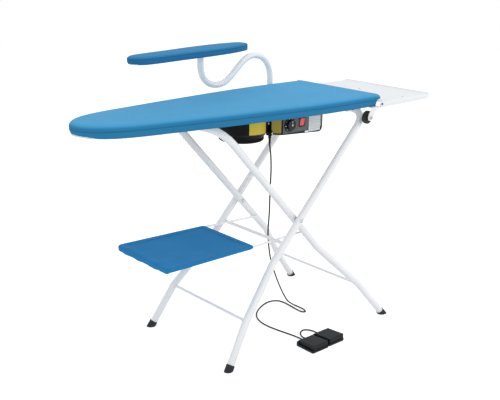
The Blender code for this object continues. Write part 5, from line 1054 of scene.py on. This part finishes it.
def shelf_wrinkle(x, y, far_x):
    """Scallops and puckers that run in from the far hem, where the cloth isn't drawn tight, and fade
    towards the sides. They stand up from the wire and hardly sink."""
    loose = math.exp(-max(0.0, x - far_x) / SHELF_PUCKER_REACH)
    soft = soft_noise(y * 11.0, 3.3, 0.0)
    scallop = math.sin(y * SHELF_SCALLOP_TURNS + soft * 3.0) * 0.6 + soft_noise(y * 46.0, 7.1, 0.0)
    fade = max(0.0, 1.0 - abs(y / SHELF_END_HALF) ** 6)
    return loose * (scallop + 0.8) * SHELF_PUCKER * fade


def add_shelf_hem(work, outline, far_x):
    """The hem: the cloth's edge rolled round the wires, closed all round."""
    rings = []
    for inset, height in SHELF_HEM_PROFILE:
        ring = []
        for point, way in zip(outline, outward(outline)):
            at_far = max(0.0, -way.x) ** 4
            drop = SHELF_HEM_DROP * at_far if height < 0 else 0.0
            bulge = SHELF_HEM_BULGE * at_far if abs(height) < SHELF_BULGE_HEIGHT and inset < 0 else 0.0
            spot = point - way * (inset - bulge)
            pucker = SHELF_PUCKER_TOP if height > 0 else SHELF_PUCKER_BELOW
            lift = shelf_wrinkle(spot.x, spot.y, far_x) * pucker
            ring.append(work.verts.new((spot.x, spot.y, height - drop + lift)))
        rings.append(ring)
    skin_rings(work, rings)


def add_shelf_sheet(work, far_x, near_x):
    """The sheet inside the hem, a plain grid that sinks a little in the middle."""
    low = far_x + SHELF_SHEET_INSET
    high = near_x - SHELF_SHEET_INSET
    columns = round((high - low) / SHELF_SHEET_STEP)
    lines = round(SHELF_START_HALF * 2 / SHELF_SHEET_STEP)
    rows = []
    for i in range(columns + 1):
        along = i / columns
        x = low + (high - low) * along
        half = SHELF_END_HALF + (SHELF_START_HALF - SHELF_END_HALF) * along - SHELF_SHEET_INSET
        row = []
        for j in range(lines + 1):
            across = 2 * j / lines - 1
            y = half * across
            belly = (1 - across**2) * 4 * along * (1 - along)
            dip = soft_noise(x * 8.0, y * 8.0, 2.2) * SHELF_DIP
            crease = soft_noise(x * 4.0 + 4.0, y * 21.0, 6.2) * SHELF_CREASE
            z = SHELF_SHEET_LIFT - SHELF_SAG * belly + (dip + crease) * min(1.0, belly * 3)
            row.append(work.verts.new((x, y, z + shelf_wrinkle(x, y, far_x) * SHELF_PUCKER_TOP)))
        rows.append(row)
    for a, b in zip(rows, rows[1:]):
        for j in range(lines):
            work.faces.new((a[j], a[j + 1], b[j + 1], b[j]))


def make_shelf_stitches(far_x):
    stitches = stitch_row(
        "shelf_cloth_stitches", shelf_outline(0.012), SHELF_STITCH_INSET, SHELF_STITCH_HEIGHT,
        SHELF_STITCH_LENGTH, SHELF_STITCH_PITCH,
    )
    for vertex in stitches.data.vertices:
        vertex.co.z += shelf_wrinkle(vertex.co.x, vertex.co.y, far_x) * SHELF_PUCKER_TOP
    stitches.data.transform(shelf_place())
    return keep(stitches, "shelf")


def make_shelf_cloth():
    outline = shelf_outline(0.0040)
    far_x = min(p.x for p in outline)
    near_x = max(p.x for p in outline)
    work = bmesh.new()
    add_shelf_hem(work, outline, far_x)
    add_shelf_sheet(work, far_x, near_x)
    cloth = finish_mesh("shelf_cloth_sheet", work, LOOKS["shelf_cloth"])
    thick = cloth.modifiers.new("cloth thickness", "SOLIDIFY")
    thick.thickness = SHELF_THICKNESS
    thick.offset = 0
    cloth.data.transform(shelf_place())
    keep(cloth, "shelf")
    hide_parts("shelf_cloth")
    stitches = make_shelf_stitches(far_x)


make_shelf_cloth()


# Screw heads
SCREW_SIDES = 24
SCREW_PROFILE = ((0.96, 0.0), (1.0, 0.22), (0.93, 0.55), (0.72, 0.84), (0.45, 0.97), (0.40, 0.97))
CROSS_RADIUS = 0.36
CROSS_WAIST = 0.35


def screw_head(name, place, radius, depth, look, body):
    """A domed screw head with a cross sunk in it."""
    work = bmesh.new()
    here = Matrix.Identity(4)
    rings = [round_ring(work, radius * out, depth * up, SCREW_SIDES, here) for out, up in SCREW_PROFILE]
    base = work.verts.new((0, 0, 0))
    for j in range(SCREW_SIDES):
        work.faces.new((base, rings[0][(j + 1) % SCREW_SIDES], rings[0][j]))
    sunk = []
    for j in range(SCREW_SIDES):
        turn = math.tau * j / SCREW_SIDES
        reach = 1.0 if j % 6 in (0, 1, 5) else CROSS_WAIST
        spot = Vector((math.cos(turn), math.sin(turn), 0)) * radius * CROSS_RADIUS * reach
        sunk.append(work.verts.new((spot.x, spot.y, depth * 0.93)))
    deep = [work.verts.new((v.co.x * 0.85, v.co.y * 0.85, depth * 0.35)) for v in sunk]
    skin_rings(work, rings + [sunk, deep])
    work.faces.new(deep)
    made = finish_mesh(name, work, look)
    made.data.transform(place)
    keep(made, body)


# Blower
FOIL_GAP = 0.0003
FOIL_THICKNESS = 0.0004
BLOWER_X = -0.505
BLOWER_RADIUS = 0.098
BLOWER_LABEL_LOW = 0.7922
BLOWER_LABEL_HIGH = 0.8535
BLOWER_LABEL_START = math.radians(-24.5)
BLOWER_LABEL_END = math.radians(21.5)
BLOWER_LABEL_COLUMNS = 20
BLOWER_SCREW_TURN = math.radians(28.0)
BLOWER_SCREWS = (
    ("blower_strap_screw", 0.1040, 0.825, 0.0042, 0.0026),
    ("blower_boss_screw", 0.118, 0.7905, 0.0045, 0.0028),
)
CAP_RIBS = 56
CAP_RIB_HALF_WIDTH = 0.0012
CAP_RIB_ROOT = 0.0005
CAP_RIB_PROFILE = ((0.0, 0.0030), (0.0022, 0.0038), (0.0022, 0.0125), (0.0, 0.0135))


def blower_spot(turn, radius, height):
    """A point on the blower: turn is measured from the side that faces the person who irons."""
    return at(BLOWER_X + radius * math.sin(turn), -radius * math.cos(turn), height)


def make_blower_label():
    """A bare foil plate wrapped on the blower's side."""
    work = bmesh.new()
    rows = []
    for radius in (BLOWER_RADIUS + FOIL_GAP, BLOWER_RADIUS + FOIL_GAP + FOIL_THICKNESS):
        grid = []
        for i in range(BLOWER_LABEL_COLUMNS + 1):
            turn = BLOWER_LABEL_START + (BLOWER_LABEL_END - BLOWER_LABEL_START) * i / BLOWER_LABEL_COLUMNS
            grid.append([
                work.verts.new(blower_spot(turn, radius, height))
                for height in (BLOWER_LABEL_LOW, BLOWER_LABEL_HIGH)
            ])
        rows.append(grid)
    inner, outer = rows
    for i in range(BLOWER_LABEL_COLUMNS):
        work.faces.new((outer[i][0], outer[i + 1][0], outer[i + 1][1], outer[i][1]))
        work.faces.new((inner[i][0], inner[i][1], inner[i + 1][1], inner[i + 1][0]))
        work.faces.new((inner[i][0], inner[i + 1][0], outer[i + 1][0], outer[i][0]))
        work.faces.new((inner[i][1], outer[i][1], outer[i + 1][1], inner[i + 1][1]))
    for i in (0, BLOWER_LABEL_COLUMNS):
        work.faces.new((inner[i][0], outer[i][0], outer[i][1], inner[i][1]))
    made = finish_mesh("blower_foil_plate", work, YELLOW_LOOK)
    made.modifiers.new("flat faces", "WEIGHTED_NORMAL")
    keep(made, "table_top")


def make_blower_screws():
    """One screw on the strap and one on the boss below it."""
    for name, reach, height, radius, depth in BLOWER_SCREWS:
        spot = blower_spot(BLOWER_SCREW_TURN, reach, height)
        out = spot - at(BLOWER_X, 0, height)
        screw_head(name, facing(spot, out), radius, depth, SCREW_LOOK, "table_top")


def make_cap_ribs():
    """Fine upright ribs round the blower's lower cap."""
    low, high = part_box("blower_cap")
    root = (high.x - low.x) / 2 - CAP_RIB_ROOT
    axis = at(BLOWER_X, 0, 0)
    work = bmesh.new()
    for i in range(CAP_RIBS):
        turn = math.tau * i / CAP_RIBS
        out = Vector((math.cos(turn), math.sin(turn), 0))
        across = Vector((-out.y, out.x, 0)) * CAP_RIB_HALF_WIDTH
        corners = []
        for proud, height in CAP_RIB_PROFILE:
            middle = axis + out * (root + proud) + Vector((0, 0, low.z + height))
            corners.append((work.verts.new(middle - across), work.verts.new(middle + across)))
        for a, b in zip(corners, corners[1:]):
            work.faces.new((a[0], a[1], b[1], b[0]))
        work.faces.new([c[0] for c in corners])
        work.faces.new([c[1] for c in reversed(corners)])
        work.faces.new((corners[0][0], corners[-1][0], corners[-1][1], corners[0][1]))
    ribs = finish_mesh("blower_cap_ribs", work, LOOKS["motor_black"], smooth=False)
    keep(ribs, "table_top")


make_blower_label()
make_blower_screws()
make_cap_ribs()


# Controls
PANEL_LOW, PANEL_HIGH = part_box("control_panel")
PANEL_FACE = PANEL_LOW.y
PANEL_SCREW_INSET = 0.006
BOX_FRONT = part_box("control_box")[0].y
ROCKER_RIM_PROFILE = (
    (0.0012, 0.0, 0.0012), (0.0012, 0.0012, 0.0012), (0.0017, 0.0020, 0.0014),
    (0.0032, 0.0020, 0.0022), (0.0038, 0.0012, 0.0026), (0.0038, 0.0, 0.0026),
)
DIAL_SKIRT_DEPTH = 0.004
DIAL_GAP = 0.0003
DIAL_DOTS = 8
DIAL_DOTS_RADIUS = 0.0232
DIAL_DOTS_START = 225
DIAL_DOTS_SWEEP = 270
DIAL_DOT_RADII = (0.0013, 0.0021)
DIAL_POINTER_RISE = 0.0105
DIAL_CAP_PROFILE = ((0.0, 0.0), (0.0034, 0.0), (0.0034, 0.0005), (0.0026, 0.0009), (0.0, 0.0010))
SLOPE_FAR = (-0.4485, -0.0980)
SLOPE_NEAR = (-0.4215, -0.1250)
SLOPED_PLATE_HEIGHT = 0.8200
RULES = 8
SHORT_RULES = (2, 5)
RULE_TOP = 0.0265
RULE_PITCH = 0.0076
RULE_LENGTH = 0.0480
SHORT_RULE_LENGTH = 0.0320


def make_dial_dots(centre):
    """Plain dots, small and large in turn, round the dial's skirt."""
    skirt_face = PANEL_FACE - DIAL_SKIRT_DEPTH - DIAL_GAP
    dots = []
    for i in range(DIAL_DOTS):
        turn = math.radians(DIAL_DOTS_START - DIAL_DOTS_SWEEP * i / (DIAL_DOTS - 1))
        x = centre.x + DIAL_DOTS_RADIUS * math.cos(turn)
        z = centre.z + DIAL_DOTS_RADIUS * math.sin(turn)
        radius = DIAL_DOT_RADII[i % 2]
        profile = ((0.0, 0.0), (radius, 0.0), (radius, 0.0002), (0.0, 0.0003))
        dots.append(turned(f"dot_{i}", profile, facing((x, skirt_face, z), TO_FRONT), MARK_LOOK, 12))
    keep(joined("dial_scale_dots", dots), "dial")


def make_dial_marks():
    """White dots round the dial's skirt, a white line on its knob and a bright cap in its middle."""
    low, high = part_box("dial_knob")
    centre = (low + high) / 2
    make_dial_dots(centre)
    place = facing((centre.x, low.y - 0.00005, centre.z + DIAL_POINTER_RISE), TO_FRONT)
    line = plate("dial_pointer", rounded(0.0016, 0.0080, 0.0007), 0.0003, place, MARK_LOOK, 0.0001)
    keep(line, "dial")
    place = facing((centre.x, low.y, centre.z), TO_FRONT)
    keep(turned("dial_cap", DIAL_CAP_PROFILE, place, SCREW_LOOK, 20), "dial")


def make_rocker_rim():
    """A raised rim round the lit switch, with its corners rounded."""
    low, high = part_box("power_rocker")
    middle = (low + high) / 2
    place = facing((middle.x, PANEL_FACE - 0.0001, middle.z), TO_FRONT)
    work = bmesh.new()
    rings = []
    for grow, lift, corner in ROCKER_RIM_PROFILE:
        outline = rounded(high.x - low.x + grow * 2, high.z - low.z + grow * 2, corner)
        rings.append([work.verts.new(place @ Vector((x, y, lift))) for x, y in outline])
    skin_rings(work, rings + rings[:1])
    keep(finish_mesh("rocker_rim", work, LOOKS["dial_black"]), "table_top")


def on_box_front(x, z):
    return facing((x + SHIFT.x, BOX_FRONT - FOIL_GAP, z), TO_FRONT)


def make_sloped_plate():
    """A bare yellow plate on the box's sloped end, darkened to olive as painted shade."""
    a = at(*SLOPE_FAR, 0)
    b = at(*SLOPE_NEAR, 0)
    along = (b - a).normalized()
    out = Vector((along.y, -along.x, 0))
    middle = (a + b) / 2 + out * FOIL_GAP
    middle.z = SLOPED_PLATE_HEIGHT
    outline = rounded((b - a).length * 0.92, 0.0600, 0.0015)
    sloped = plate("box_foil_plate", outline, FOIL_THICKNESS, facing(middle, out), SHADED_YELLOW_LOOK, 0.0001)
    keep(sloped, "table_top")


def make_ruled_plate():
    """A bare pale plate on the box's front, with faint ruled lines."""
    place = on_box_front(-0.2545, 0.8150)
    outline = rounded(0.0600, 0.0730, 0.0020)
    pieces = [plate("box_pale_plate", outline, FOIL_THICKNESS, place, PALE_LOOK, 0.0001)]
    for i in range(RULES):
        width = SHORT_RULE_LENGTH if i in SHORT_RULES else RULE_LENGTH
        spot = place @ Vector(((width - RULE_LENGTH) / 2, RULE_TOP - i * RULE_PITCH, 0.00042))
        outline = rounded(width, 0.0009, 0.0003, 2)
        pieces.append(plate(f"rule_{i}", outline, 0.0001, facing(spot, TO_FRONT), RULE_LOOK, 0.00003))
    keep(joined("box_pale_plate", pieces), "table_top")


def make_box_trims():
    """A small white tab and a light upright trim on the box's front."""
    place = on_box_front(-0.2950, 0.7812)
    tab = plate("box_tab_plate", rounded(0.0180, 0.0066, 0.0010), FOIL_THICKNESS, place, MARK_LOOK, 0.0001)
    keep(tab, "table_top")
    place = on_box_front(-0.2212, 0.8210)
    trim = plate("box_end_trim", rounded(0.0022, 0.0600, 0.0008), 0.0008, place, TRIM_LOOK, 0.0002)
    keep(trim, "table_top")


def make_panel_screws():
    """A dark screw in each corner of the control panel."""
    number = 0
    for x in (PANEL_LOW.x + PANEL_SCREW_INSET, PANEL_HIGH.x - PANEL_SCREW_INSET):
        for z in (PANEL_LOW.z + PANEL_SCREW_INSET, PANEL_HIGH.z - PANEL_SCREW_INSET):
            number += 1
            place = facing((x, PANEL_FACE, z), TO_FRONT)
            screw_head(f"panel_screw_{number}", place, 0.0022, 0.0013, DARK_SCREW_LOOK, "table_top")


make_dial_marks()
make_rocker_rim()
make_sloped_plate()
make_ruled_plate()
make_box_trims()
make_panel_screws()


# Tray, tacks and axles
TRAY_RIVETS = ((0.161, 0.023), (0.157, -0.204))
TRAY_FLOOR = 0.8750
RIVET_PROFILE = (
    (0.0, 0.0), (0.0042, 0.0), (0.0042, 0.0005), (0.0034, 0.0013), (0.0018, 0.0018), (0.0, 0.0019),
)
TACK_SPOTS = ((-0.1390, -0.2085), (-0.1390, 0.2085))
TACK_HEIGHT = 0.8578
TACK_PROFILE = (
    (0.0, 0.0), (0.0030, 0.0), (0.0038, 0.0008), (0.0034, 0.0020), (0.0018, 0.0028), (0.0, 0.0030),
)
AXLE_CAP_PROFILE = ((0.0, 0.0), (0.0050, 0.0), (0.0050, 0.0012), (0.0036, 0.0021), (0.0, 0.0024))


def make_tray_rivets():
    for index, (x, y) in enumerate(TRAY_RIVETS):
        place = facing(at(x, y, TRAY_FLOOR), (0, 0, 1))
        head = turned(f"tray_rivet_{index + 1}", RIVET_PROFILE, place, SCREW_LOOK, 20)
        keep(head, "table_top")


def make_side_screws(kind, nodes, x, height, radius, depth):
    """A dark screw on the near side of the first node and one on the far side of the second."""
    for (name, side), node in zip(SIDES, nodes):
        low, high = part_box(node)
        place = facing((x + SHIFT.x, low.y if side < 0 else high.y, height), (0, side, 0))
        screw_head(f"{kind}_screw_{name}", place, radius, depth, DARK_SCREW_LOOK, "table_top")


def make_cover_tacks():
    for index, (x, y) in enumerate(TACK_SPOTS):
        place = facing(at(x, y, TACK_HEIGHT), (0, 0, -1))
        tack = turned(f"cover_tack_{index + 1}", TACK_PROFILE, place, TACK_LOOK, 16)
        keep(tack, "table_top")


def make_axle_caps():
    for name, side in SIDES:
        low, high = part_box(f"wheel_axle_{name}")
        middle = (low + high) / 2
        middle.y = low.y if side < 0 else high.y
        cap = turned(f"axle_cap_{name}", AXLE_CAP_PROFILE, facing(middle, (0, side, 0)), BRASS_LOOK, 24)
        keep(cap, "table_top")


make_tray_rivets()
make_side_screws("bracket", ("tray_bracket_near", "tray_bracket_far"), -0.0340, 0.8640, 0.0038, 0.0024)
make_side_screws("tray", ("iron_tray", "iron_tray"), 0.0065, 0.8655, 0.0044, 0.0028)
make_cover_tacks()
make_axle_caps()


# Foot switches
PEDAL_HUB_INSET = 0.0155
PEDAL_HUB_HEIGHT = 0.0152


def make_pedal_hubs():
    """A small dark screw on each side of the foot switches."""
    for name in ("left", "right"):
        low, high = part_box(f"pedal_base_{name}")
        for side, end, face in ((-1, "out", low.x), (1, "in", high.x)):
            place = facing((face, high.y - PEDAL_HUB_INSET, PEDAL_HUB_HEIGHT), (side, 0, 0))
            screw_head(f"pedal_hub_{name}_{end}", place, 0.0024, 0.0012, DARK_SCREW_LOOK, "outer_legs")


make_pedal_hubs()


# Finishes of the model's own nodes
EDGE_ROUNDINGS = {
    "control_box": 0.0012,
    "control_panel": 0.0005,
    "iron_tray": 0.0006,
    "tray_bracket_near": 0.0005,
    "tray_bracket_far": 0.0005,
    "hinge_clip_near": 0.0004,
    "hinge_clip_far": 0.0004,
    "height_rack": 0.0004,
    "board_pan": 0.0006,
    "sleeve_plate": 0.0004,
    "blower_housing": 0.0010,
    "blower_cap": 0.0010,
    "blower_strap": 0.0004,
    "dial_knob": 0.0004,
    "power_rocker": 0.0004,
    "pedal_base_left": 0.0007,
    "pedal_base_right": 0.0007,
    "pedal_treadle_left": 0.0006,
    "pedal_treadle_right": 0.0006,
    "transport_wheel_near": 0.0006,
    "transport_wheel_far": 0.0006,
}
PLAIN_ROUNDING = 0.0003
WELD_DISTANCE = 0.00001
ROUND_NODES = (
    "outer_leg_near", "outer_leg_far", "inner_leg_near", "inner_leg_far", "outer_top_tube", "inner_top_tube",
    "outer_low_rod", "inner_low_rod", "shelf_rest_tube", "shelf_wire", "shelf_cross_wire", "sleeve_arm",
    "heating_element",
)


def dress_nodes():
    """Gives each node its finish, welds its faces for shading and rounds its edges a little."""
    slots = {row["node"]: row["material_slot"] for row in frame["record"]["subparts"]}
    for name, slot in slots.items():
        node = bpy.data.objects[name]
        if node.hide_render:
            continue
        node.data.materials.clear()
        node.data.materials.append(LOOKS[slot])
        if "custom_normal" in node.data.attributes:
            node.data.attributes.remove(node.data.attributes["custom_normal"])
        node.data.shade_smooth()
        weld = node.modifiers.new("one skin", "WELD")
        weld.merge_threshold = WELD_DISTANCE
        soften_edges(node, EDGE_ROUNDINGS.get(name, PLAIN_ROUNDING), flat=name not in ROUND_NODES)


dress_nodes()


# Floor, light and surroundings
FLOOR_HALF = 9.0
FLOOR_DROP = 0.0004
FLOOR_TONE = 0.80
FLOOR_GLOW = 0.55
WORLD_TINT = (252, 253, 255)
WORLD_LIGHT = 0.80
LAMPS = (
    ("front_lamp", (2.6, -2.6, 1.9), (0.0, 0.0, 0.5), 1.8, 27.0),
    ("top_lamp", (0.6, -0.4, 4.0), (0.0, 0.0, 0.6), 1.8, 8.0),
    ("back_lamp", (1.0, 2.6, 2.6), (0.0, 0.0, 0.6), 1.6, 9.0),
    ("side_lamp", (-2.8, -1.8, 1.3), (0.0, 0.0, 0.4), 1.8, 13.0),
)


def show_apart(tree, out, lighting, shown):
    """Lights the table with one shader and shows another to the camera, mirrored or through glass too."""
    path = tree.nodes.new("ShaderNodeLightPath")
    seen = math_node(tree, "ADD", path.outputs["Is Camera Ray"], path.outputs["Is Glossy Ray"])
    seen = math_node(tree, "ADD", seen, path.outputs["Is Transmission Ray"])
    pick = tree.nodes.new("ShaderNodeMixShader")
    tree.links.new(seen, pick.inputs[0])
    tree.links.new(lighting.outputs[0], pick.inputs[1])
    tree.links.new(shown.outputs[0], pick.inputs[2])
    tree.links.new(pick.outputs[0], out.inputs["Surface"])


def bright_node(tree, kind, tint, strength):
    node = tree.nodes.new(kind)
    node.inputs["Color"].default_value = tint
    node.inputs["Strength"].default_value = strength
    return node


def make_floor():
    corners = [(FLOOR_HALF * x, FLOOR_HALF * y, 0) for x, y in ((-1, -1), (1, -1), (1, 1), (-1, 1))]
    mesh = bpy.data.meshes.new("studio_floor")
    mesh.from_pydata(corners, [], [(0, 1, 2, 3)])
    floor = bpy.data.objects.new("studio_floor", mesh)
    floor.location.z = -FLOOR_DROP
    bpy.context.scene.collection.objects.link(floor)
    look = bpy.data.materials.new("studio_floor_white")
    look.use_nodes = True
    tree = look.node_tree
    tree.nodes.clear()
    out = tree.nodes.new("ShaderNodeOutputMaterial")
    matt = tree.nodes.new("ShaderNodeBsdfDiffuse")
    matt.inputs["Color"].default_value = (FLOOR_TONE, FLOOR_TONE, FLOOR_TONE, 1)
    glow = bright_node(tree, "ShaderNodeEmission", (1, 1, 1, 1), FLOOR_GLOW)
    glowing = tree.nodes.new("ShaderNodeAddShader")
    tree.links.new(matt.outputs[0], glowing.inputs[0])
    tree.links.new(glow.outputs[0], glowing.inputs[1])
    show_apart(tree, out, matt, glowing)
    mesh.materials.append(look)


def make_world():
    world = bpy.data.worlds.new("studio_white")
    bpy.context.scene.world = world
    world.use_nodes = True
    tree = world.node_tree
    tree.nodes.clear()
    out = tree.nodes.new("ShaderNodeOutputWorld")
    white = bright_node(tree, "ShaderNodeBackground", (1, 1, 1, 1), 1.0)
    light = bright_node(tree, "ShaderNodeBackground", colour(*WORLD_TINT), WORLD_LIGHT)
    show_apart(tree, out, light, white)


def make_lamp(name, place, aim, size, power):
    data = bpy.data.lights.new(name, "AREA")
    data.shape = "DISK"
    data.size = size
    data.energy = power
    lamp = bpy.data.objects.new(name, data)
    way = Vector(aim) - Vector(place)
    lamp.matrix_world = Matrix.Translation(place) @ way.to_track_quat("-Z", "Y").to_matrix().to_4x4()
    bpy.context.scene.collection.objects.link(lamp)


make_floor()
make_world()
for lamp_values in LAMPS:
    make_lamp(*lamp_values)
bpy.context.scene.view_settings.view_transform = "Standard"
